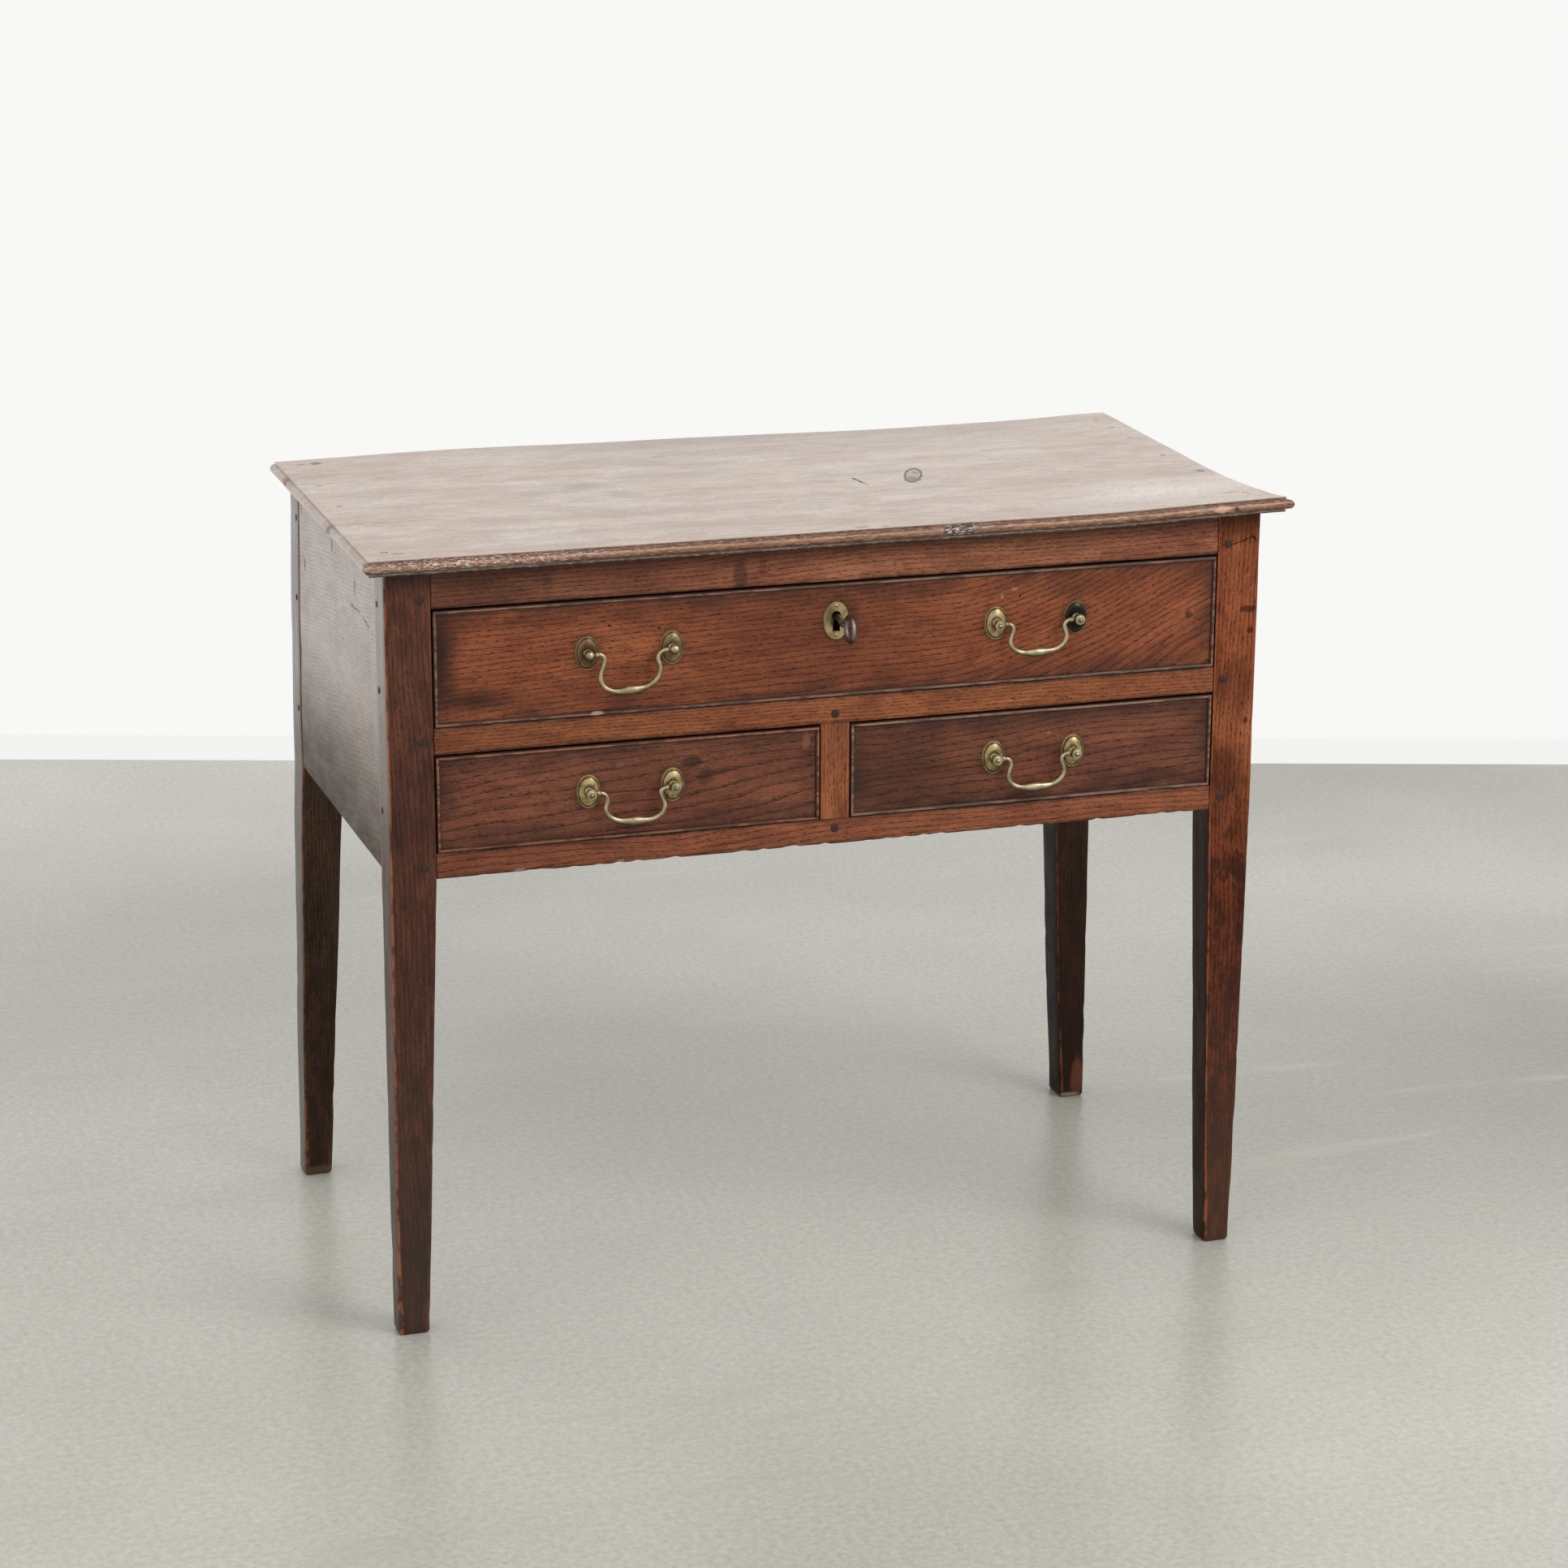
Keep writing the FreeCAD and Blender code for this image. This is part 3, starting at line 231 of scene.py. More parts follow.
def bar(name, axis, stations, cells=(2, 2), wear=None):
    """A closed bar along an axis. Stations are (place, mid u, mid v, half u, half v, arris)."""
    run = "XYZ".index(axis)
    order = [i for i in range(3) if i != run]
    bm = bmesh.new()
    layer = bm.verts.layers.float.new("arris")
    rings = []
    for place, mid_u, mid_v, half_u, half_v, arris in stations:
        middle = Vector((0, 0, 0))
        middle[run], middle[order[0]], middle[order[1]] = place, mid_u, mid_v
        ring = []
        for u, v, distance in section(half_u, half_v, arris, *cells):
            point = middle.copy()
            point[order[0]] += u
            point[order[1]] += v
            moved = point + hand_worked(point) + case_lean(point)
            if wear:
                moved += wear(point, distance, middle)
            vert = bm.verts.new(moved * MM)
            vert[layer] = distance
            ring.append(vert)
        rings.append(ring)
    for low, high in zip(rings, rings[1:]):
        for i, vert in enumerate(low):
            bm.faces.new((low[i - 1], vert, high[i], high[i - 1]))
    bm.faces.new(rings[0])
    bm.faces.new(rings[-1])
    bmesh.ops.recalc_face_normals(bm, faces=bm.faces)
    return mesh_piece(name + "_worn", bm)


def evenly(start, end, count):
    """Places from start to end in even steps, without the first."""
    return [start + (end - start) * i / count for i in range(1, count + 1)]


# ---- wood: legs -------------------------------------------------------------
LEG_STEP = 12.0
LEG_ARRIS, FOOT_ARRIS = 1.0, 3.4     # feet have lost their corners
FOOT_WEAR_TOP = 130.0                # height at which that wear ends
FOOT_EDGE = 3.0                      # rounding under a foot
KNOCK_SPAN, KNOCK_LEAST = 24.0, 0.15
KNOCK, LOW_KNOCK = 0.7, 1.1          # depth of the knocks, and what the floor adds to it
LOW_KNOCKS = (60, 420)               # heights between which that fades out


def leg_rectangle(node, height):
    """Middle and half sizes of a leg at a height, read from its own corners."""
    points = [v.co / MM for v in NODES[node].data.vertices]
    low, high = extent([p for p in points if abs(p.z - height) < 0.1])
    middle, half = (low + high) / 2, (high - low) / 2
    return middle.x, middle.y, half.x, half.y


def inner_face(leg_name):
    """How far out from the middle a leg's inner face is."""
    middle, _, half, _ = leg_rectangle(leg_name, CASE_TOP)
    return middle - half


def worn_leg(point, distance, middle):
    """Arrises of a leg are knocked back, more so near the floor."""
    if distance > 0:
        return Vector((0, 0, 0))
    depth = KNOCK + LOW_KNOCK * (1 - smooth(*LOW_KNOCKS, point.z))
    knock = max(0, noise.noise(point / KNOCK_SPAN) - KNOCK_LEAST) * depth
    return (middle - point).normalized() * knock


def leg(name):
    """A leg: square and upright beside the drawers, tapered and a little crooked below."""
    foot, head = leg_rectangle(name, 0), leg_rectangle(name, CASE_TOP)
    heights = [FOOT_EDGE * share for share in (0, 0.12, 0.45, 1)]
    heights += evenly(FOOT_EDGE, APRON, round(APRON / LEG_STEP))
    heights += evenly(APRON, CASE_TOP, round((CASE_TOP - APRON) / LEG_STEP))
    stations = []
    for height in heights:
        share = min(height / APRON, 1.0)
        mid_u, mid_v, half_u, half_v = (a + (b - a) * share for a, b in zip(foot, head))
        lost = FOOT_EDGE * (1 - sqrt(1 - max(0.0, 1 - height / FOOT_EDGE) ** 2))
        arris = FOOT_ARRIS + (LEG_ARRIS - FOOT_ARRIS) * smooth(0, FOOT_WEAR_TOP, height)
        stations.append((height, mid_u, mid_v, half_u - lost, half_v - lost, arris))
    return stand_for(bar(name, "Z", stations, (4, 4), worn_leg), name)


# ---- wood: rails and boards -------------------------------------------------
RAIL_ARRIS = 0.5
RAIL_STEP = 6.0
CHIP_SPAN, CHIP_ROW, CHIP_LEAST, CHIP = 7.0, 3.3, 0.1, 3.2    # chips along the apron's underside
SAG_SPAN, SAG_ROW, SAG = 70.0, 8.1, 0.8                       # its slower waves
POCKET_REACH = 40.0          # half the stretch of the top rail in which to look for its pocket
POCKET_OPEN = 3.0            # how far the cut runs out below the rail
UNWORN = 10.0                # distance to an arris that keeps a face free of wear


def straight_bar(name, axis, start, end, cells, step=RAIL_STEP, wear=None):
    """A bar as wide and deep as a CAD piece, from start to end, drawn in at both ends."""
    low, high = box_mm(name)
    across = [i for i in range(3) if i != "XYZ".index(axis)]
    middle, half = ([size[i] for i in across] for size in ((low + high) / 2, (high - low) / 2))
    first, last = start + RAIL_ARRIS, end - RAIL_ARRIS
    count = max(2, round((end - start) / step))
    less = [size - RAIL_ARRIS for size in half]
    stations = [(start, *middle, *less, RAIL_ARRIS)]
    stations += [(place, *middle, *half, RAIL_ARRIS) for place in [first] + evenly(first, last, count)]
    stations += [(end, *middle, *less, RAIL_ARRIS)]
    return bar(name, axis, stations, cells, wear)


def ragged(point, distance, middle):
    """The underside of the front apron is chipped and uneven."""
    if point.z > APRON + 1.5 or distance > 3:
        return Vector((0, 0, 0))
    chip = max(0, noise.noise(Vector((point.x / CHIP_SPAN, CHIP_ROW, 0))) - CHIP_LEAST) * CHIP
    sag = noise.noise(Vector((point.x / SAG_SPAN, SAG_ROW, 0))) * SAG
    return Vector((0, 0, max(0.0, chip + sag)))


def with_bolt_pocket(piece):
    """Cut the pocket that the thrown bolt enters, as it is in the CAD rail."""
    points = [v.co / MM for v in NODES["top_rail"].data.vertices]
    low, high = extent([p for p in points if abs(p.x) < POCKET_REACH])
    low.z -= POCKET_OPEN
    bm = bmesh.new()
    layer = bm.verts.layers.float.new("arris")
    place = Matrix.LocRotScale((low + high) / 2 * MM, None, high - low)
    bmesh.ops.create_cube(bm, size=MM, matrix=place)
    for vert in bm.verts:
        vert[layer] = UNWORN
    pocket = mesh_piece("bolt_pocket", bm)
    cut = piece.modifiers.new("pocket", "BOOLEAN")
    cut.object, cut.operation, cut.solver = pocket, "DIFFERENCE", "EXACT"
    name, mesh = piece.name, settled(piece)
    bpy.data.objects.remove(pocket)
    return shaded_piece(name, mesh)


def rail(name, wear=None):
    """A front rail between the legs; the top one has the pocket for the bolt."""
    end = inner_face("leg_front_right")
    piece = straight_bar(name, "X", -end, end, (2, 4), wear=wear)
    return stand_for(with_bolt_pocket(piece) if name == "top_rail" else piece, name)


def muntin():
    """The upright between the two short drawers."""
    floor, ceiling = box_mm("bottom_rail")[1].z, box_mm("middle_rail")[0].z
    return stand_for(straight_bar("muntin", "Z", floor, ceiling, (4, 2)), "muntin")


def side_board(side):
    """A side board between its two legs."""
    name = "side_panel_" + side
    front = leg_rectangle("leg_front_" + side, CASE_TOP)
    back = leg_rectangle("leg_back_" + side, CASE_TOP)
    return stand_for(straight_bar(name, "Y", front[1] + front[3], back[1] - back[3], (2, 16)), name)


def back_board():
    """The back board between the back legs."""
    end = inner_face("leg_back_right")
    piece = straight_bar("back_panel", "X", -end, end, (2, 10), step=2 * RAIL_STEP)
    return stand_for(piece, "back_panel")


# ---- the top ----------------------------------------------------------------
TOP_BOARDS = ("front", "middle", "back")
TOP_LOW, TOP_HIGH = box_mm("top_board_front")[0], box_mm("top_board_back")[1]
TOP_STEP_X, TOP_STEP_Y = 12, 20
CORNER_LIFT = 4.2                    # the front right corner has warped up
CORNER_X, CORNER_Y = (230, 450), (-230, -60)     # where its lift begins and ends
# How far the ends stray along X by their place along Y, and the back edge's lift by X.
LEFT_END = ((-220, -4.2), (235, -4.4))
RIGHT_END = ((-219, 6.0), (-202, -2.0), (-150, -5.8), (-110, -6.4), (-40, -5.8), (60, -3.0), (235, 0.3))
BACK_EDGE = ((-435, 0), (-270, 2.3), (-60, 0), (196, -2.7), (300, -2.3), (435, 0.9))
END_X, BACK_Y = (300, 435), (-60, 233)           # where these begin and end
ROLL_DEPTH = 5.0                     # how far in from the edge the bruises reach
BRUISE_SPAN, BRUISE_LEAST = 6.0, 0.05
BRUISE, RIGHT_BRUISE, RIGHT_FROM = 1.1, 0.5, 390     # the right end is bruised less


def top_shape(point):
    """The top has warped, and its moulded edge is bruised."""
    lift = CORNER_LIFT * smooth(*CORNER_X, point.x) * (1 - smooth(*CORNER_Y, point.y))
    lift += along(BACK_EDGE, point.x) * smooth(*BACK_Y, point.y)
    stray = along(LEFT_END if point.x < 0 else RIGHT_END, point.y) * smooth(*END_X, abs(point.x))
    moved = Vector((stray, 0, lift)) + hand_worked(point) * 0.8
    nose = min(point.y - TOP_LOW.y, point.x - TOP_LOW.x, TOP_HIGH.x - point.x)
    if nose < ROLL_DEPTH:
        depth = RIGHT_BRUISE if point.x > RIGHT_FROM else BRUISE
        bruise = max(0, noise.noise(point / BRUISE_SPAN) - BRUISE_LEAST) * depth
        at_front = point.y - TOP_LOW.y == nose
        inward = Vector((0, 1, 0)) if at_front else Vector((-point.x, 0, 0)).normalized()
        moved += inward * bruise * smooth(ROLL_DEPTH, 0, nose)
    return moved


def top_board(which):
    """One of the top's three boards, cut fine enough to warp."""
    name = "top_board_" + which
    bm = sliced(sliced(merged(name), 0, TOP_STEP_X), 1, TOP_STEP_Y)
    layer = bm.verts.layers.float.new("under")
    for vert in bm.verts:
        vert[layer] = TOP_HIGH.z - vert.co.z / MM
        vert.co += top_shape(vert.co / MM) * MM
    return stand_for(mesh_piece(name + "_warped", bm), name)


# ---- drawers and their metal ------------------------------------------------
BEAD_STEP = 10.0
BEAD_WOBBLE, BEAD_WOBBLE_SPAN = 0.18, 14.0
BAIL_PIN_DOWN = 2.2          # a bail's pins below its highest point
BAIL_NECK = 14.0             # length of arm over which a pulled bail bends
BAIL_GRIP_REACH = 24.0       # half of its grip


def beads(drawer):
    """A drawer's four cockbeads, a little uneven along their length."""
    name = drawer + "_drawer_beads"
    bm = sliced(sliced(merged(name), 0, BEAD_STEP), 2, BEAD_STEP)
    for vert in bm.verts:
        vert.co += noise.noise_vector(vert.co / (BEAD_WOBBLE_SPAN * MM)) * BEAD_WOBBLE * MM
    return stand_for(mesh_piece(name + "_worn", bm, 40), name)


def soft_copy(name, soft_angle=35, bend=None):
    """A merged and softly shaded copy of a turned or cast piece, bent if use has bent it."""
    bm = merged(name)
    if bend:
        for vert in bm.verts:
            vert.co += bend(vert.co / MM) * MM
    return stand_for(mesh_piece(name + "_soft", bm, soft_angle), name)


def used_bail(name, aside, tilt):
    """A bail pulled aside in use, its grip lower at the right by the tilt."""
    low, high = box_mm(name)
    pin, middle = high.z - BAIL_PIN_DOWN, (low.x + high.x) / 2

    def bend(point):
        share = smooth(0, BAIL_NECK, pin - point.z)
        return Vector((aside * share, 0, -tilt * share * (point.x - middle) / BAIL_GRIP_REACH))
    return soft_copy(name, bend=bend)


# ---- pegs -------------------------------------------------------------------
PEG_SIDES, PEG_LEVELS = 14, 8
PEG_DOME = 0.5               # how far the middle of a peg's head stands above its rim
PEG_AXES = {"front_pegs": "Y", "side_pegs": "X", "back_pegs": "Y", "top_pegs": "Z"}
PEG_INPUTS = {"Geometry": "NodeSocketGeometry", "Radius": "NodeSocketFloat",
              "Length": "NodeSocketFloat", "Dome": "NodeSocketFloat",
              "Seed": "NodeSocketInt", "Finish": "NodeSocketMaterial"}


def peg_shape(tree, given):
    """Geometry nodes: a ball, drawn out below into a straight shank and pressed into a dome above."""
    ball = put(tree, "GeometryNodeMeshUVSphere", PEG_SIDES, PEG_LEVELS, 1.0)
    parts = put(tree, "ShaderNodeSeparateXYZ", put(tree, "GeometryNodeInputPosition"), out=None).outputs
    flat = put(tree, "ShaderNodeCombineXYZ", parts[0], parts[1])
    straight = put(tree, "ShaderNodeVectorMath", flat, operation="NORMALIZE")
    below = put(tree, "FunctionNodeCompare", parts[2], -0.01, operation="LESS_THAN")
    across = put(tree, "GeometryNodeSwitch", below, flat, straight, input_type="VECTOR")
    deep = put(tree, "ShaderNodeMath", parts[2], given["Length"], operation="MULTIPLY")
    high = put(tree, "ShaderNodeMath", parts[2], given["Dome"], operation="MULTIPLY")
    rise = put(tree, "GeometryNodeSwitch", below, high, deep, input_type="FLOAT")
    wide = put(tree, "ShaderNodeVectorMath", across, None, None, given["Radius"], operation="SCALE")
    lift = put(tree, "ShaderNodeCombineXYZ", None, None, rise)
    shape = put(tree, "ShaderNodeVectorMath", wide, lift, operation="ADD")
    return put(tree, "GeometryNodeSetPosition", ball, None, shape)


def peg_tree():
    """Geometry nodes: a hand-cut oak peg on each point, looking along its 'out' vector."""
    tree = bpy.data.node_groups.new("hand-cut pegs", "GeometryNodeTree")
    keys = {label: tree.interface.new_socket(label, in_out="INPUT", socket_type=kind).identifier
            for label, kind in PEG_INPUTS.items()}
    tree.interface.new_socket("Geometry", in_out="OUTPUT", socket_type="NodeSocketGeometry")
    given = put(tree, "NodeGroupInput", out=None).outputs
    seed = {"Seed": given["Seed"]}
    out = put(tree, "GeometryNodeInputNamedAttribute", "out", data_type="FLOAT_VECTOR")
    facing = put(tree, "FunctionNodeAlignRotationToVector", named={"Vector": out}, axis="Z")
    spin = put(tree, "FunctionNodeRandomValue", None, None, 0.0, 6.28, out=1, data_type="FLOAT",
               named=seed)
    turn = put(tree, "FunctionNodeAxisAngleToRotation", named={"Angle": spin})
    rotation = put(tree, "FunctionNodeRotateRotation", facing, turn, rotation_space="LOCAL")
    size = put(tree, "FunctionNodeRandomValue", (0.88, 0.97, 0.9), (1.0, 1.1, 1.0),
               data_type="FLOAT_VECTOR", named=seed)
    pegs = put(tree, "GeometryNodeInstanceOnPoints", given["Geometry"], None, peg_shape(tree, given),
               named={"Rotation": rotation, "Scale": size})
    real = put(tree, "GeometryNodeRealizeInstances", pegs)
    real = put(tree, "GeometryNodeSetMaterial", real, None, given["Finish"])
    put(tree, "NodeGroupOutput", real, out=None)
    return tree, keys


def peg_places(name, driven):
    """A mesh with a point for each peg of a CAD piece, and the pegs' radius and length."""
    points, outward = [], []
    for low, high in solids_of(name):
        way = -1 if low[driven] < -abs(high[driven]) else 1
        head = (low + high) / 2
        head[driven] = (high[driven] if way > 0 else low[driven]) - way * PEG_DOME
        head += top_shape(head) if head.z > TOP_LOW.z else case_lean(head)
        points.append(head * MM)
        outward += [float(way) if i == driven else 0.0 for i in range(3)]
        radius, length = (high - low)[driven - 1] / 2, (high - low)[driven]
    mesh = bpy.data.meshes.new(name + "_places")
    mesh.from_pydata(points, [], [])
    mesh.attributes.new("out", "FLOAT_VECTOR", "POINT").data.foreach_set("vector", outward)
    return mesh, radius, length


def cut_pegs(name, tree, keys, finish, seed):
    """Hand-cut pegs in the place of the plain ones."""
    mesh, radius, length = peg_places(name, "XYZ".index(PEG_AXES[name]))
    places = placed(name + "_places", mesh)
    maker = places.modifiers.new("pegs", "NODES")
    maker.node_group = tree
    for label, value in (("Radius", radius * MM), ("Length", (length - PEG_DOME) * MM),
                         ("Dome", PEG_DOME * MM), ("Seed", seed), ("Finish", finish)):
        maker[keys[label]] = value
    return stand_for(shaded_piece(name + "_cut", settled(places), 50), name)


# ---- finishes ---------------------------------------------------------------
EASED = {"interpolation_type": "SMOOTHSTEP"}


class Finish:
    """A material drawn over its piece. Each method makes a pattern or lays one thing more."""

    def __init__(self, name, tone="#FFFFFF"):
        """An even tone to begin with."""
        self.material = bpy.data.materials.new(name)
        self.material.use_nodes = True
        self.tree = self.material.node_tree
        self.tree.nodes.clear()
        self.colour = linear(tone)
        place = self.add("TexCoord", out="Object")
        self.place = self.add("VectorMath", place, (1 / MM,) * 3, operation="MULTIPLY")

    def add(self, kind, *inputs, **settings):
        """Add a shader node to this material."""
        return put(self.tree, "ShaderNode" + kind, *inputs, **settings)

    def speckle(self, point, size, detail=2.0, rough=0.5, out=0):
        """Cloudy noise over a point; size is its grain along each axis."""
        scaled = self.add("VectorMath", point, tuple(1 / s for s in size), operation="MULTIPLY")
        return self.add("TexNoise", scaled, None, 1.0, detail, rough, out=out)

    def wavering(self, size, reach):
        """The place moved by noise, so that what is drawn there gets a ragged rim."""
        sway = self.speckle(self.place, (size,) * 3, 3.0, 0.6, out="Color")
        sway = self.add("VectorMath", sway, (0.5,) * 3, operation="SUBTRACT")
        return self.add("VectorMath", sway, (2 * reach,) * 3, self.place, operation="MULTIPLY_ADD")

    def ramp(self, axis, start, end, first=0.0, last=1.0):
        """A share that changes along an axis, from its start to its end."""
        place = self.add("SeparateXYZ", self.place, out="XYZ".index(axis))
        return self.add("MapRange", place, start, end, first, last, **EASED)

    def facing(self, axis, start, end):
        """0 on faces that look along an axis as far as start says, 1 as far as end says."""
        normal = self.add("NewGeometry", out="Normal")
        part = self.add("SeparateXYZ", normal, out="XYZ".index(axis))
        return self.add("MapRange", part, start, end, **EASED)

    def reach(self, point, at, size):
        """Distance from a place: 1 where an ellipsoid of a size has its skin."""
        away = self.add("VectorMath", point, at, operation="SUBTRACT")
        scaled = self.add("VectorMath", away, tuple(1 / s for s in size), operation="MULTIPLY")
        return self.add("VectorMath", scaled, operation="LENGTH", out="Value")

    def spot(self, point, at, size, soft=0.5):
        """1 inside an ellipsoid round a place, 0 outside it, easing over its outer part."""
        return self.add("MapRange", self.reach(point, at, size), 1.0, 1.0 - soft, **EASED)

    def inside(self, node, point):
        """Distance inside a CAD piece's rectangle, as seen along Y."""
        low, high = box_mm(node)
        away = self.add("VectorMath", point, (low + high) / 2, operation="SUBTRACT")
        size = self.add("VectorMath", away, operation="ABSOLUTE")
        room = self.add("VectorMath", (high - low) / 2, size, operation="SUBTRACT")
        parts = self.add("SeparateXYZ", room, out=None).outputs
        return self.add("Math", parts[0], parts[2], operation="MINIMUM")

    def lay(self, share, tone, most=1.0, within=None, blend_type="MIX"):
        """Lay a tone over what is there, by a share, and only within another if it is given."""
        share = self.add("Math", share, most, operation="MULTIPLY")
        if within is not None:
            share = self.add("Math", share, within, operation="MULTIPLY")
        self.colour = self.add("MixRGB", share, self.colour, linear(tone), blend_type=blend_type)

    def dim(self, share, tone, most=1.0):
        """Multiply what is there by a tone, by a share."""
        self.lay(share, tone, most, blend_type="MULTIPLY")

    def closed(self, sockets):
        """Close the material with a Principled shader."""
        shader = self.add("BsdfPrincipled", named={"Base Color": self.colour, **sockets})
        self.add("OutputMaterial", shader, out=None)
        return self.material


def finish_with(material, *pieces):
    """Give pieces a material."""
    for piece in pieces:
        piece.data.materials.clear()
        piece.data.materials.append(material)


# ---- oak --------------------------------------------------------------------
TURN_GRAIN = {"X": (0, 0, 0), "Y": (0, 0, radians(-90)), "Z": (0, radians(90), 0)}
RING_WIDTH = 3.4             # spacing of the growth rings
PORE = (5.2, 0.58, 0.58)     # open pores, drawn wider than the real 0.3 so that they show
FIBRE = (42.0, 1.3, 1.3)
MOTTLE = (38.0, 11.0, 11.0)
CLOUD = (150.0, 38.0, 38.0)
RIPPLE = (34.0, 9.0, 9.0)
SWAY_SPAN = (210.0, 60.0, 60.0)
SWAY = 15.0                  # how far the rings stray from round
# the second is the near-black of dirt in cracks and joints, also laid as painted shade in gaps and
# creases
WORN, SOOT_AND_SHADE = "#A9623E", "#170D09"
DIRT, SHADE = "#6C5850", "#6E625C"     # these two dim the wood under them


class Oak(Finish):
    """Old oak, scraped and waxed; done() closes it."""

    def __init__(self, name, grain, tones, heart, tilt=(0, 0, 0), rise=None, cloudy=0.5):
        """The bare wood: fibres, wide soft clouds, and rings a little darker where they begin."""
        super().__init__(name)
        self.turned, self.wood, self.early = self.growth(grain, heart, tilt, rise)
        self.ragged = self.wavering(11.0, 2.2)
        fibre = self.speckle(self.wood, FIBRE, 4.0, 0.62)
        cloud = self.speckle(self.turned, CLOUD, 3.0, 0.5)
        mix = self.add("Math", fibre, 0.6, 0.2 - cloudy / 2, operation="MULTIPLY_ADD")
        mix = self.add("Math", cloud, cloudy, mix, operation="MULTIPLY_ADD")
        mix = self.add("Math", self.early, -0.07, mix, operation="MULTIPLY_ADD")
        self.colour = self.toned(mix, list(zip((0.26, 0.47, 0.70), tones)))
        self.height = self.add("Math", fibre, 0.09, operation="MULTIPLY")
        self.bare = 0.0
        self.coat = {}

    def growth(self, grain, heart, tilt, rise):
        """Wood as it grew: a place along the grain, the same swayed, how early in its ring it is."""
        place = self.place
        if rise:
            start, end, amount = rise
            lift = self.add("CombineXYZ", None, None, self.ramp("X", start, end, 0.0, amount))
            place = self.add("VectorMath", place, lift, operation="SUBTRACT")
        from_heart = self.add("VectorMath", place, heart, operation="SUBTRACT")
        angles = tuple(a + radians(b) for a, b in zip(TURN_GRAIN[grain], tilt))
        turned = self.add("Mapping", from_heart, (0, 0, 0), angles)
        sway = self.speckle(turned, SWAY_SPAN, 2.0, 0.4, out="Color")
        wood = self.add("VectorMath", sway, (0, SWAY, SWAY), turned, operation="MULTIPLY_ADD")
        across = self.add("VectorMath", wood, (0, 1, 1), operation="MULTIPLY")
        radius = self.add("VectorMath", across, operation="LENGTH", out="Value")
        rings = self.add("Math", radius, RING_WIDTH, operation="DIVIDE")
        phase = self.add("Math", rings, operation="FRACT")
        return turned, wood, self.add("MapRange", phase, 0.42, 0.0, **EASED)

    def toned(self, value, stops):
        """Tones by a value, from (value, tone) stops in rising order."""
        ramp = self.add("ValToRGB", value, out=None)
        steps = ramp.color_ramp.elements
        while len(steps) < len(stops):
            steps.new(1.0)
        for step, (at, tone) in zip(steps, stops):
            step.position, step.color = at, linear(tone)
        return ramp.outputs[0]

    def patches(self, size, low, high, least=0.0, most=1.0):
        """A share that comes and goes in patches of a size."""
        cloud = self.speckle(self.turned, size, 4.0, 0.65)
        return self.add("MapRange", cloud, low, high, least, most, **EASED)

    def strip(self, share, most=1.0):
        """Take the wax off by a share."""
        share = self.add("Math", share, most, operation="MULTIPLY")
        self.bare = self.add("Math", self.bare, share, operation="MAXIMUM")

    def sink(self, share, depth):
        """Sink the face by a share of a depth."""
        self.height = self.add("Math", share, -depth, self.height, operation="MULTIPLY_ADD")

    def smudged(self, most):
        """Smudges of old wax and dirt."""
        self.dim(self.patches(MOTTLE, 0.44, 0.62), DIRT, most)

    def muddied(self, top, foot, most):
        """Dark blotches of floor dirt and old polish, from a height downwards."""
        blotches = self.patches((28, 12, 12), 0.45, 0.58)
        self.lay(blotches, "#2A1812", most, within=self.ramp("Z", top, foot))

    def clouded(self, clouds):
        """Wide soft darkening: (place, size, tone, strength) each."""
        for at, size, tone, strength in clouds:
            self.dim(self.spot(self.place, at, size, 1.0), tone, strength)

    def pored(self, most=0.8, tone="#200F09", bare=0.35):
        """Open pores, dark with wax and dirt, thickest where each ring begins."""
        grain = self.speckle(self.wood, PORE, 2.0, 0.6)
        level = self.add("Math", self.early, 0.14, grain, operation="MULTIPLY_ADD")
        pores = self.add("MapRange", level, 0.57, 0.68, **EASED)
        self.lay(pores, tone, most)
        self.sink(pores, 0.09)
        self.strip(pores, bare)

    def grimed_and_shaded(self, node, layers):
        """Dirt and painted shade in patches beside the edge of a CAD piece: (tone, width, most) each."""
        within = self.inside(node, self.ragged)
        for tone, width, most in layers:
            share = self.add("MapRange", within, width, 0.0, **EASED)
            self.lay(share, tone, most, within=self.patches((50, 22, 22), 0.32, 0.6, 0.25))

    def rubbed(self, width, most, left_of=None):
        """Arrises rubbed down to bright wood, more in some places and less right of an x."""
        arris = self.add("Attribute", attribute_name="arris", out="Fac")
        share = self.add("MapRange", arris, width, 0.0, **EASED)
        patchy = self.patches((16, 8, 8), 0.4, 0.58, 0.1)
        if left_of is not None:
            kept = self.ramp("X", left_of + 3, left_of - 3, 0.2, 1.0)
            patchy = self.add("Math", patchy, kept, operation="MULTIPLY")
        self.lay(share, WORN, most, within=patchy)

    def banded(self, share, distance, stops):
        """Tones by distance from an edge, as (distance, tone) stops, painted highlights and shade among
        them.
        """
        last = stops[-1][0]
        scaled = self.add("Math", distance, last, operation="DIVIDE")
        tones = self.toned(scaled, [(at / last, tone) for at, tone in stops])
        self.colour = self.add("MixRGB", share, self.colour, tones)

    def marked(self, marks):
        """Marks with ragged rims: (place, size, tone, strength, depth) each."""
        for at, size, tone, strength, depth in marks:
            share = self.spot(self.ragged, at, size)
            self.lay(share, tone, strength)
            self.sink(share, depth)
            self.strip(share, strength)

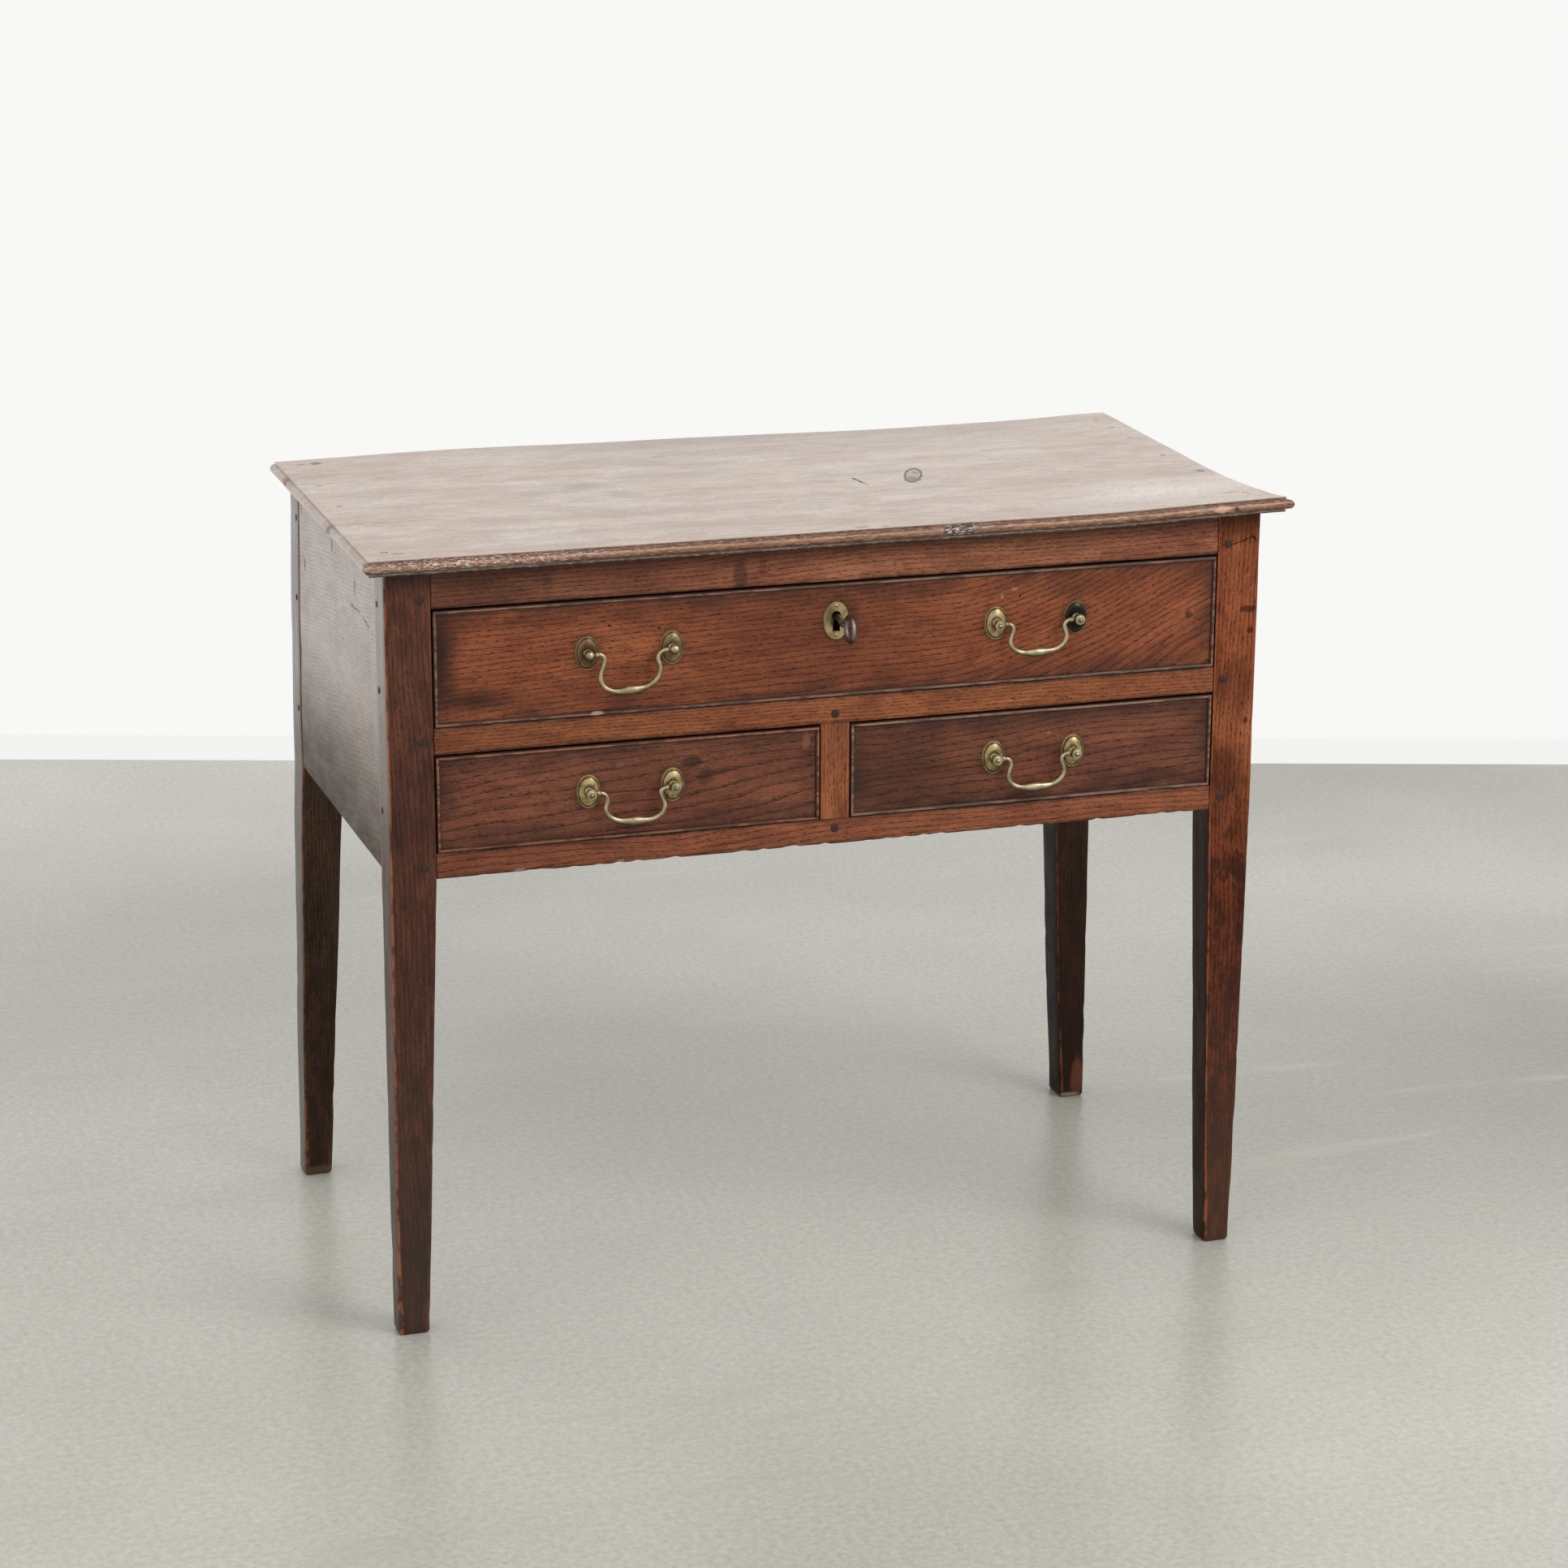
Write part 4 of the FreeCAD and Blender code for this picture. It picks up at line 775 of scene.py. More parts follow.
    def line(self, points, width):
        """1 on a line through places, 0 beside it."""
        nearest = None
        for start, end in zip(points, points[1:]):
            run = Vector(end) - Vector(start)
            away = self.add("VectorMath", self.ragged, start, operation="SUBTRACT")
            share = self.add("VectorMath", away, run / run.length_squared, operation="DOT_PRODUCT",
                             out="Value")
            share = self.add("Math", share, 0.0, operation="ADD", use_clamp=True)
            foot = self.add("VectorMath", run, None, None, share, operation="SCALE")
            gap = self.add("VectorMath", away, foot, operation="DISTANCE", out="Value")
            nearest = self.add("Math", nearest, gap, operation="MINIMUM") if nearest else gap
        return self.add("MapRange", nearest, width, width * 0.3, **EASED)

    def cracked(self, cracks):
        """Cracks that come and go along their line: (line, width, tone, strength) each."""
        for points, width, tone, strength in cracks:
            broken = self.patches((14, 14, 14), 0.36, 0.52, 0.15, strength)
            share = self.add("Math", self.line(points, width), broken, operation="MULTIPLY")
            self.lay(share, tone)
            self.sink(share, 0.35)
            self.strip(share)

    def knotted(self, at, half_w, half_d, slant):
        """A knot: pale heartwood in a dark ring, slanting along Y."""
        away = self.add("VectorMath", self.ragged, at, operation="SUBTRACT")
        across, deep = (self.add("VectorMath", away, way, operation="DOT_PRODUCT", out="Value")
                        for way in ((1 / half_w, -slant / half_w, 0), (0, 1 / half_d, 0)))
        place = self.add("CombineXYZ", across, deep)
        reach = self.add("VectorMath", place, operation="LENGTH", out="Value")
        ring = self.add("MapRange", reach, 1.08, 0.9, **EASED)
        self.lay(ring, SOOT_AND_SHADE, 0.9)
        self.lay(self.add("MapRange", reach, 0.86, 0.66, **EASED), "#B6A698", 0.9)
        self.sink(ring, 0.3)
        self.strip(ring, 0.7)

    def waxed(self, weight=1.0, roughness=0.3, ior=1.5):
        """A coat of wax, thin where the wood is bare; the weight is a number or a share."""
        kept = self.add("Math", 1.0, self.bare, operation="SUBTRACT")
        weight = self.add("Math", kept, weight, operation="MULTIPLY")
        self.coat = {"Coat Weight": weight, "Coat Roughness": roughness, "Coat IOR": ior}

    def done(self, gloss=0.26, roughness=(0.38, 0.55), uneven=1.0):
        """Close the material: a rippled, hand-planed face with an uneven shine."""
        ripple = self.speckle(self.turned, RIPPLE, 2.0)
        height = self.add("Math", ripple, 0.30 * uneven, self.height, operation="MULTIPLY_ADD")
        bump = self.add("Bump", named={"Height": height, "Strength": 1.0, "Distance": MM})
        rough = self.patches((50, 20, 20), 0.3, 0.7, *roughness)
        look = {"Roughness": rough, "Normal": bump, "Specular IOR Level": gloss}
        return self.closed({**look, **self.coat})


# ---- marks and their places -------------------------------------------------
FRONT_Y, LEFT_X = box_mm("leg_front_left")[0].y, -418
MARK_DEEP = 60               # how far a mark reaches into the wood
PEG_DIRT = {"front_pegs": 5.0, "side_pegs": 4.2}     # radius of the dirt round pegs


def peg_rings(name, keep):
    """Dark rings in the wood round those pegs of a CAD piece that keep picks."""
    size = Vector((PEG_DIRT[name],) * 3)
    size["XYZ".index(PEG_AXES[name])] = MARK_DEEP
    return [(place + case_lean(place), size, SOOT_AND_SHADE, 0.85, 0.2)
            for place in middles(name) if keep(place)]


def on_front(*rows):
    """Marks on the front: rows of x, z, half width and height, and what is laid there."""
    return [((x, FRONT_Y, z), (half_w, MARK_DEEP, half_h), *rest)
            for x, z, half_w, half_h, *rest in rows]


def on_top(*rows):
    """Marks on the top: rows of x, y, half width and depth, and what is laid there."""
    return [((x, y, TOP_HIGH.z), (half_w, half_d, MARK_DEEP), *rest)
            for x, y, half_w, half_d, *rest in rows]


def on_side(*rows):
    """Marks on the left side: rows of y, z, half depth and height, and what is laid there."""
    return [((LEFT_X, y, z), (MARK_DEEP, half_d, half_h), *rest) for y, z, half_d, half_h, *rest in rows]


def on_top_edge(*rows):
    """Marks on the top's front edge: rows of x, depth below the top face, half width and height."""
    return [((x, TOP_LOW.y + 4, TOP_HIGH.z - down), (half_w, 12, half_h), *rest)
            for x, down, half_w, half_h, *rest in rows]


def under_top(drop):
    """The shade that the top's overhang throws on the front, as far down as given."""
    return 0, CASE_TOP + 1, 2000, drop, "#4A3C34", 0.85


# ---- finishes: legs, rails and sides ----------------------------------------
RED_OAK = ("#6E3826", "#945337", "#AE6A44")
LIGHT_OAK = ("#723820", "#995634", "#B16D41")
DARK_OAK = ("#371D14", "#563022", "#72432E")
# dark tones of the back legs, partly painted shade under the case
BACK_OAK = {"left": ("#38291F", "#543F31", "#6A5040"), "right": ("#2A1A13", "#3E2A20", "#523628")}


def side_wax(wood, least):
    """Wax that makes the left faces of the legs shine grey; the least share is left low down."""
    height = wood.ramp("Z", 430, 560, least, 1.0)
    left = wood.facing("X", -0.4, -0.85)
    wood.waxed(wood.add("Math", left, height, operation="MULTIPLY"), ior=1.62)


def leg_left_oak():
    """Near-black polish, so that the rubbed arrises of this leg stand out."""
    wood = Oak("waxed oak, dark leg", "Z", DARK_OAK, (-340, -140, 900), (0, 0, 2))
    wood.smudged(0.35)
    wood.clouded(on_front(under_top(30)))
    wood.pored()
    wood.muddied(420, 200, 0.5)
    wood.lay(wood.ramp("Z", 420, 0), "#3E332C", 0.6)
    wood.rubbed(1.5, 0.85, left_of=-402)
    wood.marked(peg_rings("front_pegs", lambda p: p.x < -300))
    wood.marked(peg_rings("side_pegs", lambda p: p.x < 0 and p.y < 0))
    side_wax(wood, 0.22)
    return wood.done()


def leg_right_oak():
    """Redder wood than the rest of the front, with knocks and a crack by its top peg."""
    wood = Oak("waxed oak, red leg", "Z", ("#763A22", "#9C5536", "#B46C46"), (455, -125, 700),
               (0, 0, -2), cloudy=0.7)
    wood.smudged(0.35)
    wood.clouded(on_front(under_top(40), (400, 560, 60, 60, SHADE, 0.5),
                          (385, 480, 40, 50, SHADE, 0.6)))
    wood.pored()
    wood.dim(wood.ramp("Z", 545, 400), "#B4A4A0")
    wood.muddied(520, 380, 0.7)
    wood.lay(wood.ramp("Z", 420, 0), "#4C3B31", 0.65)
    wood.rubbed(1.4, 0.75, left_of=390)
    wood.marked(peg_rings("front_pegs", lambda p: p.x > 300))
    wood.marked(on_front((409, 635, 12, 4.5, SOOT_AND_SHADE, 0.7, 0.1), (411, 614, 4.5, 4, SOOT_AND_SHADE, 0.7, 0.1),
                         (410, 526, 3.5, 4, SOOT_AND_SHADE, 0.7, 0.1)))
    crack = [(391.5, FRONT_Y, 698.1), (411, FRONT_Y, 704.6), (416.3, FRONT_Y, 698.8)]
    wood.cracked([(crack, 1.1, SOOT_AND_SHADE, 1.0)])
    # painted shade on the face that looks left
    wood.dim(wood.facing("X", -0.4, -0.85), "#8A7868")
    return wood.done(gloss=0.1)


def leg_back_oak(side):
    """The back legs darken towards the floor as painted shade under the case; their feet are scuffed
    pale.
    """
    wood = Oak("waxed oak, back leg at the " + side, "Z", BACK_OAK[side], (60, 150, 100))
    wood.smudged(0.35)
    wood.pored()
    # painted shade, deeper towards the floor
    wood.dim(wood.ramp("Z", 600, 0), "#B0A8A0", 0.9)
    wood.muddied(420, 200, 0.4)
    wood.rubbed(1.4, 0.4, left_of=-405 if side == "left" else 398)
    wood.marked(peg_rings("side_pegs", lambda p: p.y > 0))
    wood.marked([((LEFT_X, 215, 3), (30, 40, 9), "#6B5A44", 0.5, 0),
                 ((408, 205, 22), (9, 60, 30), "#744632", 0.6, 0),
                 ((398, 200, 2), (16, 60, 5), "#A39688", 0.6, 0)])
    if side == "left":
        side_wax(wood, 0.75)
    else:
        # painted shade on the face that looks left
        wood.dim(wood.facing("X", -0.4, -0.85), "#8C7E72")
    return wood.done(gloss=0.12)


RAIL_END = inner_face("leg_front_right")
RAIL_ENDS = on_front(*((side * RAIL_END, 580, 1.3, 400, SOOT_AND_SHADE, 0.7, 0.1) for side in (-1, 1)))
RAIL_PEGS = peg_rings("front_pegs", lambda p: abs(p.x) < 300)
RAIL_LOOKS = {
    "top": {"tones": ("#76412B", "#9C5D42", "#B47754"), "heart": (2000, -150, 600), "tilt": (0, 0, 1.5),
            "clouds": on_front(under_top(24), (-330, 705, 150, 60, SHADE, 0.7),
                               (-190, 700, 70, 30, SHADE, 0.5)),
            "marks": on_front((-91, 702, 9, 18, SOOT_AND_SHADE, 0.55, 0), (-70, 707, 5, 10, SOOT_AND_SHADE, 0.4, 0),
                              (-270, 706, 6, 9, SOOT_AND_SHADE, 0.3, 0))},
    "middle": {"tones": LIGHT_OAK, "heart": (3000, -140, 480), "tilt": (0, 0, -1),
               "clouds": on_front((-330, 572, 220, 60, SHADE, 0.25)), "marks": RAIL_PEGS},
    "bottom": {"tones": RED_OAK, "heart": (4000, -150, 380), "tilt": (0, 0, 1),
               "clouds": on_front((-330, 452, 200, 60, SHADE, 0.3)),
               "marks": RAIL_PEGS + on_front((-300, 442, 7, 3, "#A58A7E", 0.6, 0),
                                             (-205, 442, 5, 2, "#A58A7E", 0.6, 0))}}


def rail_oak(which, tones, heart, tilt, clouds, marks):
    """The rails are brighter than the drawers, with dirt and painted shade where they meet them."""
    wood = Oak("waxed oak, %s rail" % which, "X", tones, heart, tilt)
    wood.smudged(0.3)
    wood.clouded(clouds)
    wood.pored()
    # dirt, and painted shade beside the drawer gaps
    wood.grimed_and_shaded(which + "_rail", ((SOOT_AND_SHADE, 2.6, 0.8), ("#2A1A12", 6.0, 0.35)))
    wood.marked(marks + RAIL_ENDS)
    return wood.done()


def muntin_oak():
    """As bright as the middle rail, of upright grain."""
    wood = Oak("waxed oak, muntin", "Z", LIGHT_OAK, (130, -180, 1500))
    wood.smudged(0.3)
    wood.pored()
    wood.rubbed(1.6, 0.4)
    wood.marked(RAIL_PEGS)
    return wood.done()


def side_oak():
    """A dull grey shine over brown, painted shade low down, patchy where the wax has gone, two splits up
    top.
    """
    wood = Oak("waxed oak, side board", "Y", ("#8E7062", "#A48676", "#B89A88"), (-330, 1200, 250),
               (8, 0, 0), cloudy=0.35)
    wood.smudged(0.35)
    wood.clouded(on_side((60, 500, 190, 90, SHADE, 0.6), (165, 600, 30, 200, SHADE, 0.35),
                         (-120, 600, 22, 160, SHADE, 0.3), (20, 640, 16, 120, "#A8968C", 0.5)))
    wood.pored(0.75, bare=0.25)
    # painted shade: darker towards the bottom
    wood.dim(wood.ramp("Z", 600, 440), "#84786E")
    wood.marked(on_side((36, 700, 4.5, 8, "#7A5246", 0.8, 0), (165, 653, 4, 8, SOOT_AND_SHADE, 0.8, 0.3),
                        (-66, 684, 3.5, 11, SOOT_AND_SHADE, 0.7, 0.3), (190, 560, 2.5, 12, SOOT_AND_SHADE, 0.6, 0.2),
                        (118, 719, 5, 4, SOOT_AND_SHADE, 0.7, 0.2), (180, 705, 3, 9, SOOT_AND_SHADE, 0.6, 0.2)))
    long_split = [(LEFT_X, y, z) for y, z in ((-33, 663), (-87, 664.5), (-120, 661), (-144, 657))]
    short_split = [(LEFT_X, 167, 637), (LEFT_X, 108, 639)]
    wood.cracked([(long_split, 1.3, SOOT_AND_SHADE, 0.9), (short_split, 1.0, SOOT_AND_SHADE, 0.7)])
    wood.waxed(wood.ramp("Z", 440, 600, 0.06, 1.0), ior=1.78)
    return wood.done(uneven=0.15)


# ---- finishes: the top ------------------------------------------------------
EDGE_TONES_AND_LIGHT = ((0.0, "#A8826C"), (1.0, "#80604F"), (2.6, "#74503F"), (3.5, "#4A3026"), (4.4, "#C49276"),
              (6.4, "#98644A"), (8.6, "#6E4532"), (10.2, "#1E130D"), (11.4, "#8C7E72"),
              (12.4, "#B0A396"), (13.2, "#2E221C"), (14.0, "#1E1410"))     # by depth below the top face, painted highlight and painted shade among them
EDGE_PATCHES = (((26, 5, 5), "#5A3A2C", 0.6), ((6, 1.3, 1.3), "#3E2A22", 0.55),
                ((7, 1.6, 1.6), "#D8B094", 0.45))
CHIPS_AND_GLINTS = ((-340, 190), (112, 36))     # where along the edge it is flecked pale, with chips and painted glints, and how far


def top_joints_and_cracks():
    """The two joints of the top, the crack at its left end, and those at its knot."""
    for points, width, tone, strength in (
            (((-437, 151), (437, 151)), 0.9, "#4A2418", 0.75),
            (((-437, -62.8), (-330, -62.8)), 1.0, SOOT_AND_SHADE, 0.9),
            (((-330, -62.8), (437, -62.8)), 0.7, "#4A2A20", 0.4),
            (((-437, 122), (-395, 119), (-300, 121)), 1.1, SOOT_AND_SHADE, 0.8),
            (((80, 0), (84, -30)), 2.4, SOOT_AND_SHADE, 1.0),
            (((25, 8), (58, -12)), 1.4, SOOT_AND_SHADE, 0.4)):
        yield [(x, y, TOP_HIGH.z) for x, y in points], width, tone, strength


def moulded_edge(wood):
    """The front edge: painted highlight on its roll, painted shade in its hollows, flecked pale."""
    under = wood.add("Attribute", attribute_name="under", out="Fac")
    below = wood.add("MapRange", under, 0.4, 1.2, **EASED)
    front = wood.ramp("Y", TOP_LOW.y + 12, TOP_LOW.y + 7, 0.0, 0.88)
    edge = wood.add("Math", below, front, operation="MULTIPLY")
    # bands of the moulding's tones, with its painted highlight and painted shade
    wood.banded(edge, under, EDGE_TONES_AND_LIGHT)
    wood.strip(edge)
    for patch, tone, most in EDGE_PATCHES:
        wood.lay(wood.patches(patch, 0.5, 0.62), tone, most, within=edge)
    wood.marked(on_top_edge((112, 6, 28, 7, "#3A2A24", 0.8, 0.2), (368, 3, 11, 4, "#D8B094", 0.85, 0.2),
                            (350, 3, 7, 4, "#8A8482", 0.5, 0.2), (383, 4, 3, 4, SOOT_AND_SHADE, 0.7, 0.2)))
    # pale flecks: partly chips, partly painted glints
    for x, reach in CHIPS_AND_GLINTS:
        flecked = wood.spot(wood.place, (x, TOP_LOW.y, TOP_HIGH.z - 5), (reach, 14, 9), 0.8)
        wood.lay(wood.patches((4, 1.0, 1.0), 0.53, 0.6), "#F2E8E2", 0.9, within=flecked)


def top_oak():
    """Pale, partly by painted sheen, and shiny at a low angle; its moulded edge shows bands of wear."""
    # the pale tones are partly the faded wood and partly painted sheen
    wood = Oak("waxed oak, top", "X", ("#A27C62", "#BE9E88", "#D6C6B8"), (5000, 400, 660),
               (0, 1.0, 0), cloudy=0.6)
    wood.smudged(0.2)
    wood.lay(wood.patches((80, 28, 28), 0.46, 0.6), "#9A6C4E", 0.4)
    # a painted sheen, brightest at the front right
    painted_sheen = wood.spot(wood.place, (330, -150, TOP_HIGH.z), (170, 90, MARK_DEEP), 1.0)
    wood.lay(painted_sheen, "#F0E6DC", 0.5)
    wood.clouded(on_top((40, 230, 500, 150, "#C8BEB6", 0.8), (-175, 36, 34, 26, SHADE, 0.6),
                        (-148, -10, 26, 18, SHADE, 0.45), (-228, 12, 26, 20, SHADE, 0.4),
                        (-60, 110, 60, 40, SHADE, 0.3)))
    wood.pored(0.75, "#4A3A32", bare=0.2)
    moulded_edge(wood)
    wood.knotted((140, -3, TOP_HIGH.z), 9.5, 34, 0.37)
    wood.marked(on_top((135, -20, 9, 15, "#7E6A5C", 0.8, 0.3), (146, 8, 2.5, 9, SOOT_AND_SHADE, 0.5, 0.2),
                       (-398, 212, 7, 8, SOOT_AND_SHADE, 0.6, 0.3), (413, -63, 5, 7, SOOT_AND_SHADE, 0.6, 0.2),
                       (20, -206, 9, 3, SOOT_AND_SHADE, 0.6, 0.2), (42, -209, 4, 2.5, SOOT_AND_SHADE, 0.6, 0.2),
                       (395, -174, 14, 2.5, SOOT_AND_SHADE, 0.5, 0.2), (-402, -190, 8, 3, SOOT_AND_SHADE, 0.5, 0.2)))
    wood.cracked(top_joints_and_cracks())
    wood.waxed(roughness=0.25, ior=1.75)
    return wood.done(uneven=0.4)


# ---- finishes: drawers, pegs and hidden wood --------------------------------
SMALL_OAK = ("#592D1F", "#7C4632", "#965B3E")
BEAD_LIGHT_AND_SHADE = {"long": ("#3A251A", "#987E70", "#745444"), "left": ("#35190C", "#B07A58", "#7C4A30"),
              "right": ("#3A251A", "#A88C78", "#7C5848")}      # painted shadow in the gaps, painted highlight, the round's own tone
DRAWER_LOOKS = {
    "long": {"tones": ("#6E341E", "#944F2F", "#B06840"), "heart": (6000, -150, 490), "tilt": (0, 0, -2),
             "rise": (90, 560, 130), "rim_dirt_and_shade": (("#2A1812", 34.0, 0.7), (SOOT_AND_SHADE, 5.0, 0.75)),
             # the second cloud, round the escutcheon, is dirt and the plate's painted shadow
             "clouds": on_front((-30, 640, 190, 70, SHADE, 0.4), (6, 654, 26, 34, "#3A2A24", 0.8),
                                (-370, 645, 24, 80, "#4A3830", 0.95),
                                (-340, 604, 70, 16, "#4A3830", 0.8)),
             "marks": on_front((348, 634, 4.5, 5, SOOT_AND_SHADE, 0.7, 0),
                               (-212.5, 663.3, 1.8, 1.8, SOOT_AND_SHADE, 0.9, 0.5),
                               (-167.3, 657.8, 1.6, 1.6, SOOT_AND_SHADE, 0.9, 0.5),
                               (179, 663, 1.6, 1.6, SOOT_AND_SHADE, 0.9, 0.5), (173, 670, 4, 2, "#B9917F", 0.5, 0),
                               (161, 664, 2, 2, "#B9917F", 0.5, 0))},
    "left": {"tones": SMALL_OAK, "heart": (7000, -140, 400), "tilt": (0, 0, 2),
             "rim_dirt_and_shade": (("#1E130F", 30.0, 0.65), (SOOT_AND_SHADE, 5.0, 0.8)),
             "marks": on_front((-28, 541, 4.5, 10, "#8A5D49", 0.55, 0),
                               (-137, 531, 13, 7, SOOT_AND_SHADE, 0.65, 0), (-124, 515, 9, 10, SOOT_AND_SHADE, 0.45, 0),
                               (-205, 533, 5, 3, "#8D6E64", 0.4, 0)),
             "cracks": [([(x, FRONT_Y, z) for x, z in ((-153, 534), (-143, 527), (-138, 517))],
                         0.8, SOOT_AND_SHADE, 0.8)]},
    "right": {"tones": SMALL_OAK, "heart": (8000, -140, 380), "tilt": (0, 0, -2),
              "rim_dirt_and_shade": (("#1E130F", 34.0, 0.75), (SOOT_AND_SHADE, 5.0, 0.8)),
              "clouds": on_front((70, 500, 110, 70, SHADE, 0.7)),
              "marks": on_front((210, 530, 3, 2, "#A08074", 0.4, 0))}}


def drawer_oak(drawer, tones, heart, tilt, rim_dirt_and_shade, marks, rise=None, clouds=(), cracks=()):
    """Red waxed oak, dark at rim and handles: dirt where no cloth reaches, and painted shade."""
    # halos round the roses: dirt, and the roses' painted shadow on the wood
    dirt_and_shadow_halos = on_front(*((place.x, place.z, 20, 25, "#2A1A14", 0.75)
                       for place in middles(drawer + "_drawer_roses")))
    wood = Oak("waxed oak, %s drawer front" % drawer, "X", tones, heart, tilt, rise)
    wood.smudged(0.3)
    wood.clouded(list(clouds) + dirt_and_shadow_halos)
    wood.pored(0.85, "#1C0D07")
    # a dark rim: dirt, and painted shade in the crease beside the bead
    wood.grimed_and_shaded(drawer + "_drawer_front", rim_dirt_and_shade)
    wood.marked(marks)
    wood.cracked(cracks)
    return wood.done()


def bead_oak(drawer, heart):
    """A bead: a painted highlight along its round between painted shadow in the gaps, broken in places.
    """
    gap, painted_highlight, round_tone = BEAD_LIGHT_AND_SHADE[drawer]
    name = drawer + "_drawer_beads"
    wood = Oak("waxed oak, %s drawer bead" % drawer, "X", RED_OAK, heart)
    wood.pored()
    # painted shadow at the edges and gaps, a painted highlight along the round
    wood.banded(0.85, wood.inside(name, wood.place),
                ((0.0, SOOT_AND_SHADE), (0.8, gap), (1.6, painted_highlight), (2.4, round_tone), (3.4, gap), (4.0, SOOT_AND_SHADE)))
    # patches of the gap's tone break up the painted highlight
    wood.lay(wood.patches((24, 5, 5), 0.44, 0.56), gap, 0.75)
    if drawer == "long":
        wood.marked(on_front((-226, box_mm(name)[0].z + 2, 8, 2.6, "#B8988E", 0.9, 0)))
    wood.waxed(0.25, roughness=0.2)
    return wood.done()


def peg_oak():
    """End grain that has drunk the polish and gone nearly black."""
    wood = Oak("waxed oak, peg end", "Y", ("#1C100B", "#38211A", "#54342A"), (10, 800, 510))
    wood.pored()
    wood.waxed(0.2)
    return wood.done(roughness=(0.4, 0.6))


def dry_oak(name, grain, tones, heart, pore_tone="#24110A"):
    """Unpolished oak, dull and evenly coloured, as inside a drawer."""
    wood = Oak(name, grain, tones, heart)
    wood.smudged(0.4)
    wood.pored(0.6, pore_tone)
    return wood.done(gloss=0.3, roughness=(0.7, 0.9))


# ---- finishes: metal --------------------------------------------------------
ROSE_HALF_W, ROSE_HALF_H = 11.3, 16.2


class Metal(Finish):
    """Cast or wrought metal gone dull with age; done() closes it."""

    def __init__(self, name, bright, dull, dark):
        """Soft clouds of tarnish, and dark pits."""
        super().__init__(name, bright)
        self.bright, self.dark = bright, dark
        self.ragged = self.wavering(5.0, 0.6)
        self.grain = self.speckle(self.place, (1.3, 1.3, 1.3), 3.0, 0.6)
        cloud = self.speckle(self.place, (9, 9, 9), 3.0, 0.55)
        self.lay(self.add("MapRange", cloud, 0.36, 0.66, **EASED), dull)
        self.lay(self.add("MapRange", self.grain, 0.60, 0.78, **EASED), dark, 0.55)

    def stepped(self, centres, half_w, half_h, step, marks=()):
        """Oval plates: a dirty groove, painted shade round the boss, marks, a painted highlight at the
        rim.
        """
        nearest = None
        for centre in centres:
            reach = self.reach(self.ragged, centre, (half_w, inf, half_h))
            nearest = self.add("Math", nearest, reach, operation="MINIMUM") if nearest else reach
        off_step = self.add("Math", nearest, step, operation="SUBTRACT")
        off_step = self.add("Math", off_step, operation="ABSOLUTE")
        self.lay(self.add("MapRange", off_step, 0.085, 0.02, **EASED), self.dark, 0.95)
        # painted shade round the boss
        self.lay(self.add("MapRange", nearest, 0.52, 0.34, **EASED), self.dark, 0.7)
        for at, size, tone, strength in marks:
            self.lay(self.spot(self.ragged, at, size, 0.6), tone, strength)
        # a painted highlight at the rim
        self.lay(self.add("MapRange", nearest, 0.90, 0.97, **EASED), self.bright, 0.6)

    def done(self, roughness=(0.3, 0.45)):
        """Close the material: finely pitted, with an uneven shine."""
        rough = self.add("MapRange", self.grain, 0.3, 0.7, *roughness, **EASED)
        bump = self.add("Bump", named={"Height": self.grain, "Strength": 1.0, "Distance": 0.05 * MM})
        return self.closed({"Metallic": 1.0, "Roughness": rough, "Normal": bump})


def handled_brass():
    """Yellow-grey brass, nearly black beneath: tarnish and painted shade under a handle."""
    metal = Metal("cast brass, handled", "#C2B595", "#9C8D6E", "#3A3024")
    # painted shade on the undersides, standing in part for tarnish
    metal.lay(metal.facing("Z", 0.15, -0.85), metal.dark, 0.75)
    return metal.done((0.32, 0.44))


def rose_brass(drawer):
    """Brass plates: dirt in their steps, a painted highlight on the rim; three on the long drawer have
    darkened.
    """
    metal = Metal("cast brass, %s drawer roses" % drawer, "#BCA67A", "#84724C", "#3A2E20")
    places = middles(drawer + "_drawer_roses")
    marks = []
    if drawer == "long":
        marks = [(places[0], (14, 60, 19), "#50342A", 0.9), (places[1], (15, 60, 20), "#5A4430", 0.55),
                 (places[3], (17, 60, 23), "#23211F", 1.0)]
    metal.stepped(places, ROSE_HALF_W, ROSE_HALF_H, 0.85, marks)
    return metal.done()


def escutcheon_brass():
    """Brass of the keyhole plate, dark round its keyhole, with a painted highlight at its rim."""
    metal = Metal("cast brass, escutcheon", "#B8A578", "#8E7C54", "#2E2418")
    low, high = box_mm("escutcheon")
    half = (high - low) / 2
    metal.stepped([(low + high) / 2], half.x, half.z, 1.3)
    return metal.done()


def rubbed_iron():
    """Iron gone brown in its pits and rubbed grey by hands."""
    return Metal("wrought iron, rubbed", "#8F8781", "#5C5049", "#2A211D").done((0.32, 0.5))


# ---- stage ------------------------------------------------------------------
FLOOR_SIZE = 16              # the stage is in metres
WALL_HEADING = radians(17.51)
WALL_AWAY, WALL_REACH, WALL_H = 1.627, 8, 6
SKIRTING_H, SKIRTING_OUT = 0.036, 0.012
WHITE = "#F8F8F6"
WALL_PAINTS = (("white wall", WHITE), ("white skirting", "#F3F3F1"))
